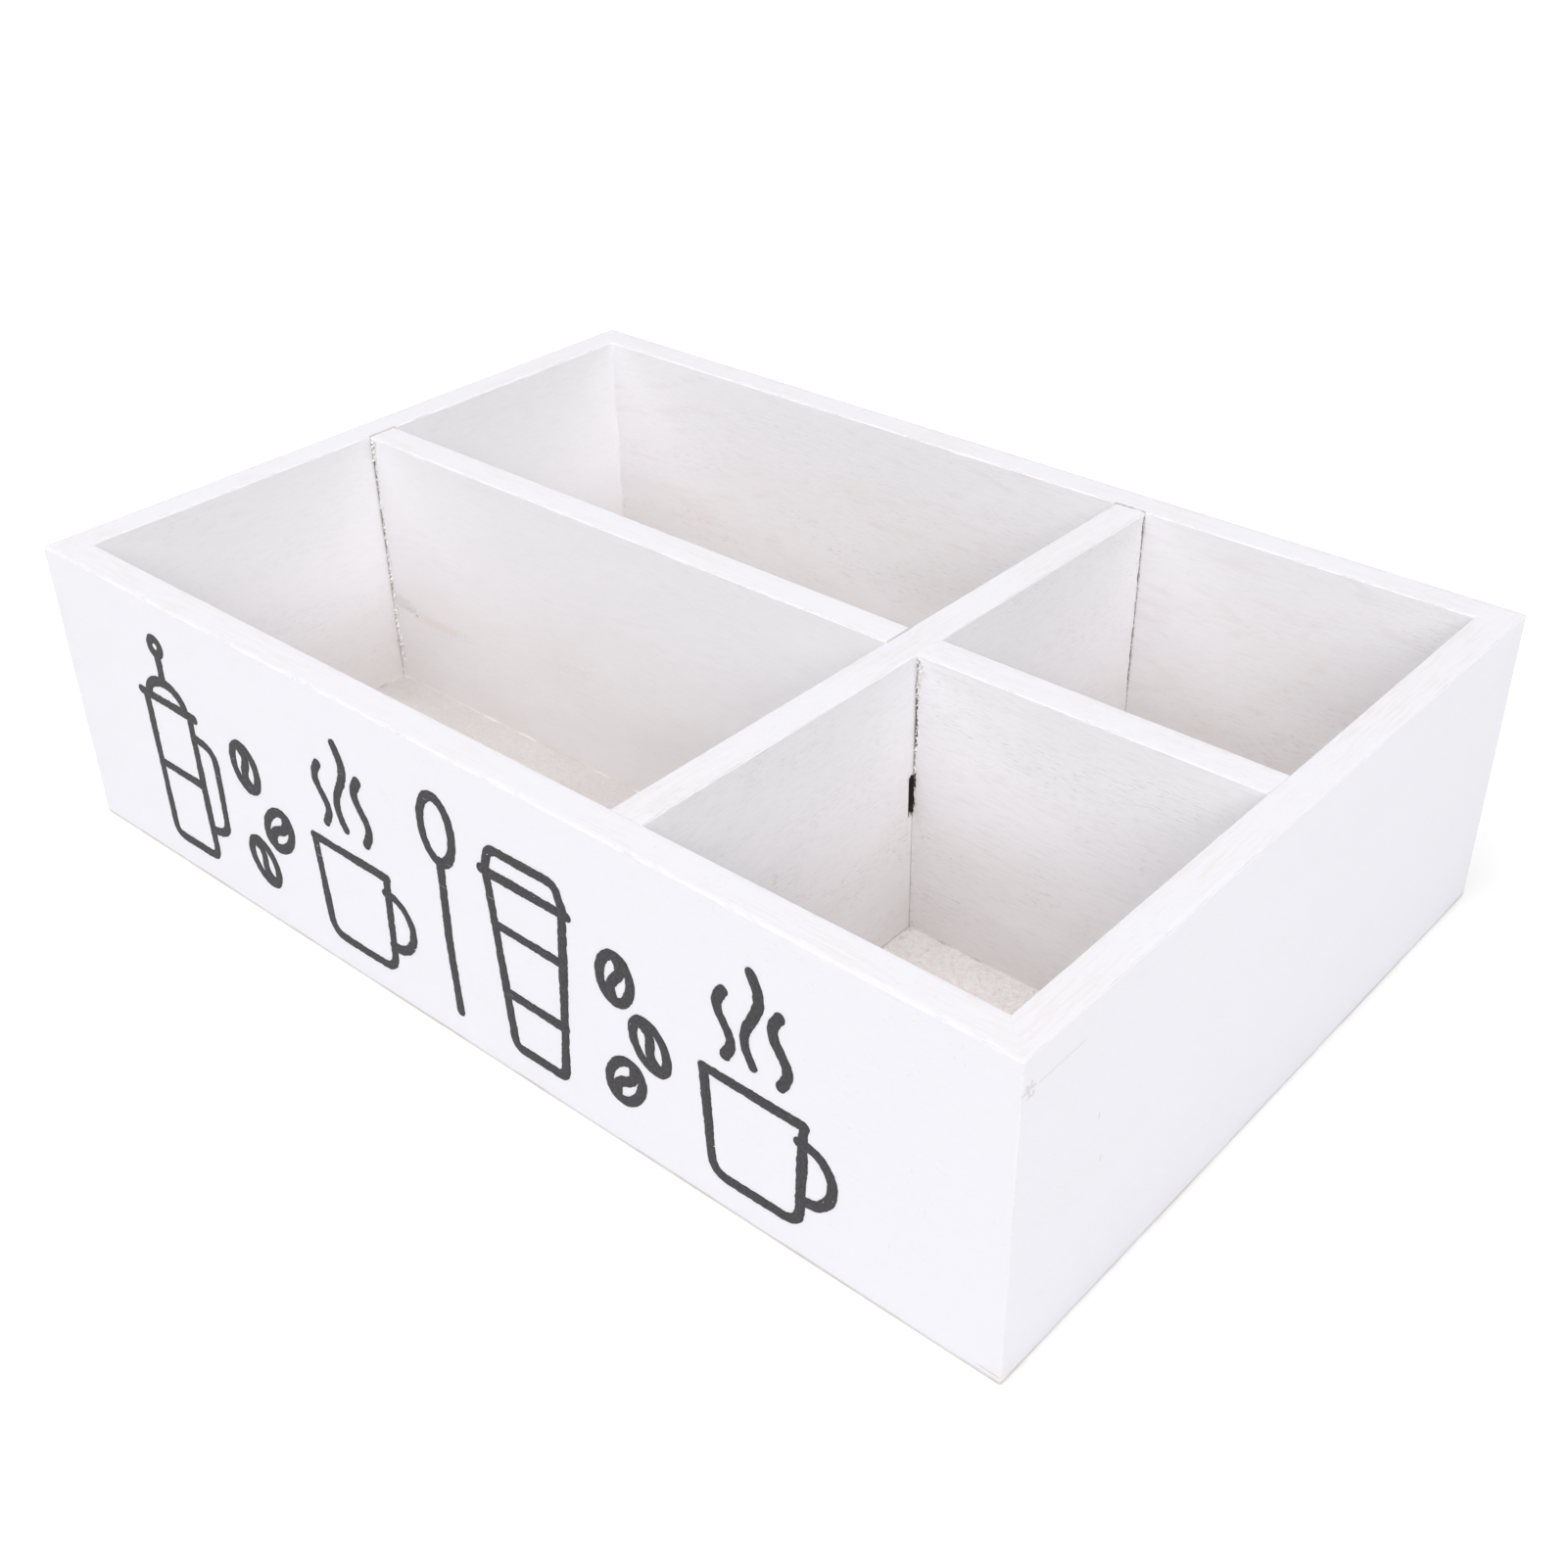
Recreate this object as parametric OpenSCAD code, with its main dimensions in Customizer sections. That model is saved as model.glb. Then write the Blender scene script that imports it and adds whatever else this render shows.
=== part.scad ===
// Low open organizer box of painted boards, parted by crossing dividers into four compartments.
// Mitred walls, a floor panel let into a rabbet, and brads that pin every joint.

/* [Box] */
// Outside length along the front
box_w = 298; // [260:1:420]
// Outside depth from front to back
box_d = 200; // [160:1:300]
// Height of the walls
box_h = 80; // [60:1:130]
// Thickness of the wall boards
wall_t = 9; // [8:0.5:14]

/* [Dividers] */
// Thickness of the divider boards
divider_t = 9; // [6:0.5:14]
// Middle of the cross divider, measured from the left outside face
cross_x = 197; // [80:1:230]
// Middle of the short dividers, measured from the front outside face
row_y = 101; // [60:1:140]
// How far the dividers' top edges lie below the rim
divider_drop = 0.3; // [0:0.1:20]
// Glue line between the end of a divider and the board that it meets
glue_gap = 0.1; // [0.05:0.05:0.3]

/* [Floor panel] */
// Thickness of the floor panel
floor_t = 3; // [2:0.5:6]
// Width of the rabbet in the foot of each wall
rabbet_w = 5; // [4:0.5:6]
// Play round the floor panel in its rabbet
panel_gap = 0.2; // [0.1:0.1:0.5]

/* [Arrises] */
// Radius of the sanded arris along the outside of the rim
rim_outer_r = 0.6; // [0.4:0.1:2]
// Radius of the sanded arris along the inside of the rim and on the dividers
rim_inner_r = 0.4; // [0.3:0.1:2]
// Radius of the arris along the outside of the foot
foot_r = 0.4; // [0.2:0.1:1.5]

/* [Brads] */
// Width of a brad's flattened shank
brad_w = 1.2; // [0.8:0.1:1.6]
// Thickness of the flattened wire
brad_t = 1; // [0.6:0.1:1.4]
// Width of a brad's head
head_w = 2; // [1.7:0.1:2.4]
// Depth of a brad's head
head_t = 0.5; // [0.3:0.1:0.8]
// Length of the chisel point
point_l = 1.6; // [0.8:0.1:3]
// Depth of filler over the heads in the painted faces
filler_t = 0.8; // [0.5:0.1:1.5]
// Length of the brads that cross the mitred corners
corner_brad_l = 19; // [14:1:25]
// Length of the brads that hold the dividers' ends
divider_brad_l = 25; // [18:1:32]
// Length of the brads that hold the floor panel up
floor_brad_l = 14; // [10:1:16]
// Highest brad at a corner, measured down from the rim
brad_top = 7.5; // [5:0.5:12]
// Lowest brad at a corner, measured up from the foot
brad_low = 22; // [20:1:28]
// Highest brad in a divider's end, measured down from its top
divider_brad_top = 15; // [10:1:24]
// Lowest brad in a divider's end, measured up from the foot
divider_brad_low = 26; // [20:1:32]
// How far the brads at the crossing sit above those at the walls
crossing_rise = 6; // [4:1:10]
// Widest spacing of the floor panel's brads
floor_pitch = 85; // [50:5:140]
// Distance from a corner to the first floor brad
floor_end = 24; // [18:1:40]

/* [Hidden] */

paint = "#f2f1f3";
floor_paint = "#e6ded9";
steel = "#9a9a9c";

// The walls run round the box from the front-left corner
SIDES = ["front", "right", "back", "left"];

arc_steps = 5;

cross_left = cross_x - divider_t / 2;
cross_right = cross_x + divider_t / 2;
divider_top = box_h - divider_drop;
rabbet_line = wall_t - rabbet_w / 2;

// Brad heights: a corner is pinned from both of its faces, at heights that alternate
corner_high = box_h - brad_top;
corner_mid = (corner_high + brad_low) / 2;
divider_heights = [divider_brad_low, divider_top - divider_brad_top];
crossing_heights = [for (z = divider_heights) z + crossing_rise];

function turns(side) = search([side], SIDES)[0];
function side_after(side) = SIDES[(turns(side) + 1) % len(SIDES)];
function side_before(side) = SIDES[(turns(side) + len(SIDES) - 1) % len(SIDES)];
function is_long(side) = side == "front" || side == "back";
function side_length(side) = is_long(side) ? box_w : box_d;
function corner_heights(side) = is_long(side) ? [corner_mid] : [brad_low, corner_high];

// Points of an arc about a centre, from angle a to angle b
function arc(centre, r, a, b) =
    let (step = (b - a) / arc_steps)
    [for (i = [0 : arc_steps]) centre + r * [cos(a + i * step), sin(a + i * step)]];

// Even places from a to b, no further apart than the pitch
function spread(a, b, pitch) =
    let (steps = max(1, ceil((b - a) / pitch))) [for (i = [0 : steps]) a + (b - a) * i / steps];

// Moves what is drawn along the front edge to the same place on another side
module on_side(side) {
    starts = [[0, 0, 0], [box_w, 0, 0], [box_w, box_d, 0], [0, box_d, 0]];
    translate(starts[turns(side)]) rotate(90 * turns(side)) children();
}

// Puts the box's bottom centre at the origin
module in_place() {
    translate([-box_w / 2, -box_d / 2, 0]) children();
}

// Section of a wall, outside face on the left: sanded arrises and a rabbet for the floor panel
module wall_section() {
    polygon(concat(
        arc([foot_r, foot_r], foot_r, 270, 180),
        arc([rim_outer_r, box_h - rim_outer_r], rim_outer_r, 180, 90),
        arc([wall_t - rim_inner_r, box_h - rim_inner_r], rim_inner_r, 90, 0),
        [[wall_t, floor_t], [wall_t - rabbet_w, floor_t], [wall_t - rabbet_w, 0]]
    ));
}

// Section of a divider: square foot, sanded top
module divider_section() {
    rise = divider_top - floor_t;
    polygon(concat(
        [[0, 0]],
        arc([rim_inner_r, rise - rim_inner_r], rim_inner_r, 180, 90),
        arc([divider_t - rim_inner_r, rise - rim_inner_r], rim_inner_r, 90, 0),
        [[divider_t, 0]]
    ));
}

// A wall board along the front edge, mitred at both ends
module mitred_board(length) {
    intersection() {
        rotate([90, 0, 90]) linear_extrude(length) wall_section();
        linear_extrude(box_h) polygon([[0, 0], [length, 0], [length - wall_t, wall_t], [wall_t, wall_t]]);
    }
}

// A divider that runs along +X from the origin, standing on the floor panel
module divider_board(length) {
    translate([0, -divider_t / 2, floor_t]) rotate([90, 0, 90]) linear_extrude(length) divider_section();
}

// Outline of a brad stamped from flattened wire: head at the origin, chisel point along +Y
module brad_outline(length) {
    polygon([
        [-head_w / 2, 0], [head_w / 2, 0], [head_w / 2, head_t],
        [brad_w / 2, head_t], [brad_w / 2, length - point_l], [0, length],
        [-brad_w / 2, length - point_l], [-brad_w / 2, head_t], [-head_w / 2, head_t]
    ]);
}

// A brad driven along +Y
module brad(length) {
    translate([0, 0, -brad_t / 2]) linear_extrude(brad_t) brad_outline(length);
}

// Brads of the corner where a side starts and the side before it ends
module corner_set(side) {
    before = side_before(side);
    on_side(side) for (z = corner_heights(side))
        translate([wall_t / 2, filler_t, z]) brad(corner_brad_l);
    on_side(before) for (z = corner_heights(before))
        translate([side_length(before) - wall_t / 2, filler_t, z]) brad(corner_brad_l);
}

// Where a divider's end meets each wall, measured along that wall
function divider_place(side) =
    side == "front" ? cross_x :
    side == "back" ? box_w - cross_x :
    side == "right" ? row_y : box_d - row_y;

// Brads through a wall into the end of the divider behind it
module divider_set(side) {
    on_side(side) for (z = divider_heights)
        translate([divider_place(side), filler_t, z]) brad(divider_brad_l);
}

// Brads through the cross divider into the end of the left divider
module crossing_set() {
    for (z = crossing_heights)
        translate([cross_right, row_y, z]) rotate(90) translate([0, filler_t, 0]) brad(divider_brad_l);
}

// A brad driven up through the floor panel, its head flush with the underside
module floor_brad() {
    rotate([90, 0, 0]) brad(floor_brad_l);
}

// Floor brads into the foot of one wall
module floor_set(side) {
    on_side(side) for (x = spread(floor_end, side_length(side) - floor_end, floor_pitch))
        translate([x, rabbet_line, 0]) floor_brad();
}

// Floor brads into the cross divider
module cross_floor_set() {
    for (y = spread(wall_t + floor_end, box_d - wall_t - floor_end, floor_pitch))
        translate([cross_x, y, 0]) floor_brad();
}

// Floor brads into the short divider between two faces
module row_floor_set(from_x, to_x) {
    for (x = spread(from_x + floor_end, to_x - floor_end, floor_pitch))
        translate([x, row_y, 0]) floor_brad();
}

module left_floor_set() {
    row_floor_set(wall_t, cross_left);
}

module right_floor_set() {
    row_floor_set(cross_right, box_w - wall_t);
}

// A wall board with the seats of its own brads
module wall_board(side) {
    color(paint) in_place() difference() {
        on_side(side) mitred_board(side_length(side));
        corner_set(side);
        corner_set(side_after(side));
        divider_set(side);
        floor_set(side);
    }
}

module front_board() {
    wall_board("front");
}

module right_board() {
    wall_board("right");
}

module back_board() {
    wall_board("back");
}

module left_board() {
    wall_board("left");
}

// The thin panel that closes the box from below, inside the rabbets
module floor_panel() {
    edge = wall_t - rabbet_w + panel_gap;
    color(floor_paint) in_place() difference() {
        translate([edge, edge, 0]) cube([box_w - 2 * edge, box_d - 2 * edge, floor_t]);
        for (side = SIDES) floor_set(side);
        cross_floor_set();
        left_floor_set();
        right_floor_set();
    }
}

// The long divider that runs from the front board to the back board
module cross_divider() {
    color(paint) in_place() difference() {
        translate([cross_x, wall_t + glue_gap, 0]) rotate(90)
            divider_board(box_d - 2 * wall_t - 2 * glue_gap);
        divider_set("front");
        divider_set("back");
        crossing_set();
        cross_floor_set();
    }
}

// The short divider from the left board to the cross divider
module left_divider() {
    color(paint) in_place() difference() {
        translate([wall_t + glue_gap, row_y, 0]) divider_board(cross_left - wall_t - 2 * glue_gap);
        divider_set("left");
        crossing_set();
        left_floor_set();
    }
}

// The short divider from the cross divider to the right board
module right_divider() {
    color(paint) in_place() difference() {
        translate([cross_right + glue_gap, row_y, 0])
            divider_board(box_w - wall_t - cross_right - 2 * glue_gap);
        divider_set("right");
        right_floor_set();
    }
}

module corner_brads() {
    color(steel) in_place() for (side = SIDES) corner_set(side);
}

module divider_brads() {
    color(steel) in_place() {
        for (side = SIDES) divider_set(side);
        crossing_set();
    }
}

module floor_brads() {
    color(steel) in_place() {
        for (side = SIDES) floor_set(side);
        cross_floor_set();
        left_floor_set();
        right_floor_set();
    }
}

front_board();
right_board();
back_board();
left_board();
floor_panel();
cross_divider();
left_divider();
right_divider();
corner_brads();
divider_brads();
floor_brads();
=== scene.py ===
# %% [markdown]
# # A painted box with four compartments
# The real thing is a low box of thin boards, painted white, that keeps mugs, pods and packets in order.
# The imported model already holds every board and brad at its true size. This lesson gives them their looks:
# softened arrises, the slight waves of a brushed coat, cracks where dividers meet walls, and a printed front.
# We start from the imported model, so nothing has to be fitted by eye.

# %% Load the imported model
import math

import bpy
import numpy as np
from mathutils import Matrix, Vector


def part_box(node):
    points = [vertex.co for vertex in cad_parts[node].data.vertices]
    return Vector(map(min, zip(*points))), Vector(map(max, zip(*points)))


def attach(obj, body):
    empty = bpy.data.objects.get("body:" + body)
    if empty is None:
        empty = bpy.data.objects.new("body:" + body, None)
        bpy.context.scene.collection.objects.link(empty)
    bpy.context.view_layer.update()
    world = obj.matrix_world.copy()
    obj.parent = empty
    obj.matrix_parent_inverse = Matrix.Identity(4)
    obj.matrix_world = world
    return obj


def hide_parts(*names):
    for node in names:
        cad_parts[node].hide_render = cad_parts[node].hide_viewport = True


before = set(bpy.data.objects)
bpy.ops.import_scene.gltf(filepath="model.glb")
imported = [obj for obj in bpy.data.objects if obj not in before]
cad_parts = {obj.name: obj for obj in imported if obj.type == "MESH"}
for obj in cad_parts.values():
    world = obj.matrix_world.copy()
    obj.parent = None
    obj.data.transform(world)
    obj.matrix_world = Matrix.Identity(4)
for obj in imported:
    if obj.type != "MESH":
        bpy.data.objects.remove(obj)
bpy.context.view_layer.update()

MM = 0.001
print("nodes:", sorted(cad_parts))

# %% [markdown]
# ## Measures taken from the frame
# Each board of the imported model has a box, and its corners give the sizes that we need.
# Only the radii of the arrises, too small to read from a box, are named values here. They are a little
# tighter than those of the bare boards, because paint fills out an edge.

# %% Measures
wall_low, wall_high = (np.array(c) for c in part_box("front_board"))
panel_low, panel_high = (np.array(c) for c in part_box("floor_panel"))
wide_low, wide_high = (np.array(c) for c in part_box("left_divider"))
narrow_low, narrow_high = (np.array(c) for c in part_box("right_divider"))
long_low, long_high = (np.array(c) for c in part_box("cross_divider"))
half_x, half_y, height = wall_high[0], -wall_low[1], wall_high[2]
wall_t = wall_high[1] - wall_low[1]
floor_t = panel_high[2]
row_front, row_middle = wide_low[1], (wide_low[1] + wide_high[1]) / 2
divider_t = wide_high[1] - wide_low[1]
divider_top = wide_high[2]
rim_outer_r = 0.42 * MM
rim_inner_r = 0.34 * MM
foot_r = 0.4 * MM
corner_r = 0.4 * MM
rabbet_w = 5 * MM
X, Y, UP = (1.0, 0, 0), (0, 1.0, 0), (0, 0, 1.0)
minus_x, minus_y = (-1.0, 0, 0), (0, -1.0, 0)
print(f"box {2 * half_x:.3f} x {2 * half_y:.3f} x {height:.3f} m, boards {wall_t:.4f} m")

# %% [markdown]
# ## The camera first
# The camera stands to the right of the front and looks down into the box. Its focal length is given in pixels
# of a square frame, as a camera solver gives it, and turned into millimetres of lens on a 36 mm sensor.
# A slight roll is the hand of the photographer.

# %% Camera
FRAME_PIXELS = 1601
FOCAL_PIXELS = 1938.3
camera_place = Vector((0.27469, -0.30009, 0.28885))
camera_aim = Vector((0.0243, -0.0172, 0.0400))
camera_roll = math.radians(-0.914)


def new_object(name, data):
    """An object that shows its data in the scene."""
    made = bpy.data.objects.new(name, data)
    bpy.context.scene.collection.objects.link(made)
    return made


lens = bpy.data.cameras.new("camera")
lens.sensor_width = 36
lens.lens = lens.sensor_width * FOCAL_PIXELS / FRAME_PIXELS
lens.clip_start = 0.01
camera = new_object("camera", lens)
look = (camera_aim - camera_place).to_track_quat("-Z", "Y").to_matrix().to_4x4()
camera.matrix_world = Matrix.Translation(camera_place) @ look @ Matrix.Rotation(camera_roll, 4, "Z")
bpy.context.scene.camera = camera
print(f"lens {lens.lens:.2f} mm")

# %% [markdown]
# ## Soft irregularity
# Hand-brushed paint is never flat. Its waves can be made from random numbers on a coarse lattice, joined by
# smooth steps: cheap, repeatable, and at any scale we like. One helper serves boards, cracks, flakes and ink.

# %% Smooth noise
LATTICE_X, LATTICE_Y = 61, 67
LATTICE_MIDDLE = 500


def soft_noise(x, y, step_x, step_y, seed):
    """Value noise from -1 to 1.

    The point lies in a cell of the lattice, a fraction f across it. The smooth step s = f * f * (3 - 2 * f)
    blends the cell's four random corner values, first along x and then along y.
    """
    values = np.random.default_rng(seed).uniform(-1, 1, (LATTICE_X, LATTICE_Y))
    x, y = np.asarray(x) / step_x + LATTICE_MIDDLE, np.asarray(y) / step_y + LATTICE_MIDDLE
    x, y = np.broadcast_arrays(x, y)
    ix, iy = np.floor(x).astype(int), np.floor(y).astype(int)
    fx, fy = x - ix, y - iy
    sx, sy = fx * fx * (3 - 2 * fx), fy * fy * (3 - 2 * fy)
    here, beside = ix % LATTICE_X, (ix + 1) % LATTICE_X
    rows = (iy % LATTICE_Y, (iy + 1) % LATTICE_Y)
    near, far = (values[here, row] * (1 - sx) + values[beside, row] * sx for row in rows)
    return near * (1 - sy) + far * sy


def waves(depth, x, y, step_x, step_y, seed):
    """Soft noise as a depth that runs from 0 to twice the given one."""
    return depth * (1 + soft_noise(x, y, step_x, step_y, seed))


def places(start, end, step, finer=()):
    """Places from start to end, about a step apart, and closer in each finer stretch (middle, reach, step)."""
    marks = [np.linspace(start, end, max(2, round((end - start) / step) + 1))]
    marks += [np.arange(middle - reach, middle + reach, fine) for middle, reach, fine in finer]
    marks = np.unique(np.clip(np.concatenate(marks), start, end).round(8))
    smallest = 0.4 * min([step] + [fine for _, _, fine in finer])
    keep = np.concatenate([[True], np.diff(marks) > smallest])
    keep[-1] = True
    return marks[keep]


sample = soft_noise(np.linspace(0, 0.1, 200), 0, 0.01, 1, 1)
print(f"noise runs from {sample.min():.2f} to {sample.max():.2f}")

# %% [markdown]
# ## From rings to a closed surface
# Every board is one section carried along a line. If each section is a ring of points, neighbouring rings can
# be joined by quads, and the two ends closed. The signed volume tells which way the faces point, so a board
# that comes out inside out is turned round at once.

# %% Loft
SHARP_ANGLE = math.radians(38)


def add_mesh(name, points, faces, masks=None):
    """A mesh object at the origin, from points and faces, with named values at its points."""
    mesh = bpy.data.meshes.new(name)
    mesh.from_pydata(points.reshape(-1, 3).tolist(), [], faces)
    for label, values in (masks or {}).items():
        spread = np.broadcast_to(values, points.shape[:-1]).astype(np.float32)
        mesh.attributes.new(label, "FLOAT", "POINT").data.foreach_set("value", spread.ravel())
    mesh.polygons.foreach_set("use_smooth", np.ones(len(mesh.polygons), bool))
    mesh.update()
    mesh.set_sharp_from_angle(angle=SHARP_ANGLE)
    return new_object(name, mesh)


def ring_faces(steps, around):
    """Quads between neighbouring rings: ring i, point j joins j + 1 and the same two points of ring i + 1."""
    index = np.arange(steps * around).reshape(steps, around)
    after = np.roll(index, -1, axis=1)
    return np.stack([index[:-1], after[:-1], after[1:], index[1:]], -1).reshape(-1, 4)


def end_faces(steps, around, paired):
    """Two closing faces, or strips between point j and its partner at the far side where the ring is paired."""
    ends = [np.arange(around)[::-1], (steps - 1) * around + np.arange(around)]
    if not paired:
        return [end.tolist() for end in ends]
    half = np.arange(around // 2 - 1)
    strips = [np.stack([end[half], end[half + 1], end[-2 - half], end[-1 - half]], -1) for end in ends]
    return np.concatenate(strips).tolist()


def volume(points, quads):
    """Signed volume: a sixth of the sum of a . (b x c) over the triangles of each quad."""
    a, b, c, d = (points[quads[:, k]] for k in range(4))
    return (np.einsum("ij,ij->i", a, np.cross(b, c)) + np.einsum("ij,ij->i", a, np.cross(c, d))).sum() / 6


def outward_faces(rings, paired=False, loop=False):
    """Faces of rings of shape (steps, around, 3): quads and two ends, or in a loop the last ring joined to
    the first. All are turned round where the volume comes out negative."""
    steps, around, _ = rings.shape
    quads = ring_faces(steps + loop, around) % (steps * around)
    faces = quads.tolist() + ([] if loop else end_faces(steps, around, paired))
    if volume(rings.reshape(-1, 3), quads) < 0:
        faces = [face[::-1] for face in faces]
    return faces


def many_lofts(name, lofts, loops=()):
    """Several lofts as one mesh. Those numbered in loops are closed on themselves."""
    faces, first = [], 0
    for number, rings in enumerate(lofts):
        faces += [[first + i for i in face] for face in outward_faces(rings, loop=number in loops)]
        first += rings.shape[0] * rings.shape[1]
    return add_mesh(name, np.concatenate([rings.reshape(-1, 3) for rings in lofts]), faces)


def laid_out(start, *parts):
    """Points: the start, plus each part's amount times its direction."""
    points = np.array(start)
    for amount, way in parts:
        points = points + amount[..., None] * np.array(way)
    return points


def finish_piece(piece, material, node):
    """Gives the piece its material and its body, and hides the imported part it takes the place of."""
    piece.data.materials.append(material)
    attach(piece, "root")
    if node:
        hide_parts(node)
    print(f"{piece.name}: {len(piece.data.polygons)} faces")

# %% [markdown]
# ## Materials begin with small helpers
# A shader tree is easier to read as a few calls than as dozens of clicks. One helper adds a node and fills or
# links its sockets, and the others stand for the commonest steps: arithmetic, a soft threshold, a mix, noise.

# %% Shader helpers
UNTURNED = (0, 0, 0)


def fill(tree, node, sockets):
    """Gives sockets, by name or number, a value or a link from another node's output."""
    for key, value in sockets.items():
        if isinstance(value, bpy.types.NodeSocket):
            tree.links.new(value, node.inputs[key])
        else:
            node.inputs[key].default_value = value


def put(tree, kind, sockets=None, **settings):
    """Adds a node with its settings and fills its sockets."""
    node = tree.nodes.new(kind)
    for key, value in settings.items():
        setattr(node, key, value)
    fill(tree, node, sockets or {})
    return node


def maths(tree, operation, *values, clamp=False):
    """One arithmetic step, or several of a kind that take in the values in turn."""
    result = values[0]
    for value in values[1:] or (0.0,):
        step = put(tree, "ShaderNodeMath", {0: result, 1: value}, operation=operation, use_clamp=clamp)
        result = step.outputs[0]
    return result


def times(tree, *values, clamp=False):
    """The product of values."""
    return maths(tree, "MULTIPLY", *values, clamp=clamp)


def vector_maths(tree, operation, *vectors):
    """One step on vectors. Its outputs are the vector and the value."""
    return put(tree, "ShaderNodeVectorMath", dict(enumerate(vectors)), operation=operation).outputs


def axes(tree, vector):
    """The vector's three parts."""
    return put(tree, "ShaderNodeSeparateXYZ", {0: vector}).outputs


def threshold(tree, value, low, high, to_low=0.0, to_high=1.0):
    """Soft step: to_low up to low, to_high from high, and a smooth curve between."""
    sockets = {"Value": value, "From Min": low, "From Max": high, "To Min": to_low, "To Max": to_high}
    return put(tree, "ShaderNodeMapRange", sockets, interpolation_type="SMOOTHSTEP").outputs[0]


def blend(tree, share, a, b):
    """Mix of two colours: a where share is 0, b where it is 1."""
    return put(tree, "ShaderNodeMix", {0: share, 6: a, 7: b}, data_type="RGBA").outputs[2]


def noise(tree, vector, scale, detail=2.0, roughness=0.5):
    """Noise from 0 to 1, with features about 1 / scale long."""
    sockets = {"Vector": vector, "Scale": scale, "Detail": detail, "Roughness": roughness}
    return put(tree, "ShaderNodeTexNoise", sockets).outputs["Fac"]


def stretched(tree, vector, scale=(1, 1, 1), turn=UNTURNED, move=(0, 0, 0)):
    """The same coordinates, scaled, turned and moved by a Mapping node."""
    sockets = {"Vector": vector, "Scale": scale, "Rotation": turn, "Location": move}
    return put(tree, "ShaderNodeMapping", sockets).outputs[0]


def drawn_noise(tree, vector, scale, detail=2.0, roughness=0.5, move=(0, 0, 0)):
    """Noise whose features are 1 / scale long along each axis, as fibres are."""
    return noise(tree, stretched(tree, vector, scale, move=move), 1.0, detail, roughness)


def bump(tree, relief, strength, distance):
    """A normal tilted by a relief whose full height is the distance in metres."""
    sockets = {"Strength": strength, "Distance": distance, "Height": relief}
    return put(tree, "ShaderNodeBump", sockets).outputs[0]


def new_group(name, inputs, outputs):
    """An empty shader group. Inputs are {name: default}, where a triple is a vector and a number is a value."""
    tree = bpy.data.node_groups.new(name, "ShaderNodeTree")
    for label, default in inputs.items():
        kind = "NodeSocketVector" if isinstance(default, tuple) else "NodeSocketFloat"
        tree.interface.new_socket(label, in_out="INPUT", socket_type=kind).default_value = default
    for label in outputs:
        tree.interface.new_socket(label, in_out="OUTPUT", socket_type="NodeSocketFloat")
    return tree, put(tree, "NodeGroupInput").outputs, put(tree, "NodeGroupOutput")


def use_group(tree, group, **sockets):
    """Places a group in a material. Underscores in the names stand for spaces."""
    named = {key.replace("_", " "): value for key, value in sockets.items()}
    return put(tree, "ShaderNodeGroup", named, node_tree=group).outputs

# %% [markdown]
# ## Wood under paint
# Thin paint lets the wood speak. Two things show: short dark dashes, where open pores drank the paint, and
# long warm lines, the growth rings of a flat-sawn board. Fibres run along the board, so the noise is squeezed
# across it and drawn out along it. The growth rings are the contour lines of a smooth hill of noise.

# %% Wood group
wood, given, made = new_group(
    "wood_under_paint", {"Vector": (0.0, 0.0, 0.0), "Dashes": 0.5, "Rings": 0.5}, ["Dashes", "Rings", "Height"]
)
place = given["Vector"]
pores = drawn_noise(wood, place, (430, 2100, 2100), 1.0, 0.6)
where = drawn_noise(wood, place, (30, 80, 80), 3.0, 0.6, (3, 1, 2))
hill = drawn_noise(wood, place, (4.5, 26, 26), 1.5, 0.45, (1, 5, 3))
beads = drawn_noise(wood, place, (70, 420, 420), 3.0, 0.65)
fibre = drawn_noise(wood, place, (60, 2600, 2600), 2.0, 0.5, (7, 2, 9))
contour = maths(wood, "SINE", times(wood, hill, 110.0))
pore_mask = times(wood, threshold(wood, pores, 0.55, 0.70), threshold(wood, where, 0.40, 0.62))
ring_mask = times(wood, threshold(wood, contour, 0.30, 1.0), threshold(wood, beads, 0.42, 0.68))
dashes = times(wood, pore_mask, given["Dashes"], clamp=True)
rings = times(wood, ring_mask, given["Rings"], clamp=True)
grain_height = maths(wood, "SUBTRACT", times(wood, fibre, 0.3), times(wood, dashes, 0.8))
fill(wood, made, {"Dashes": dashes, "Rings": rings, "Height": grain_height})
print("group", wood.name, "with", len(wood.nodes), "nodes")

# %% [markdown]
# ## The coat of paint
# A sprayed or brushed coat has a fine orange skin, faint brush lines along the board and a few pinholes.
# One group gives all three, so that every painted face shares the same hand.

# %% Paint group
coat, given, made = new_group(
    "paint_coat", {"Vector": (0.0, 0.0, 0.0), "Pinholes": 0.5}, ["Height", "Pinholes", "Cloud"]
)
place = given["Vector"]
skin = noise(coat, place, 900.0, 2.0, 0.55)
brush = drawn_noise(coat, place, (22, 700, 700))
holes = threshold(coat, noise(coat, place, 1250.0, 0.0), 0.76, 0.80)
spread = threshold(coat, noise(coat, place, 60.0), 0.45, 0.6)
pinholes = times(coat, times(coat, holes, spread), given["Pinholes"], clamp=True)
skin_height = maths(coat, "ADD", times(coat, skin, 0.5), times(coat, brush, 0.5))
fill(coat, made, {
    "Height": maths(coat, "SUBTRACT", skin_height, pinholes),
    "Pinholes": pinholes,
    "Cloud": drawn_noise(coat, place, (14, 34, 34), 3.0, 0.55),
})
print("group", coat.name, "with", len(coat.nodes), "nodes")

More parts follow.
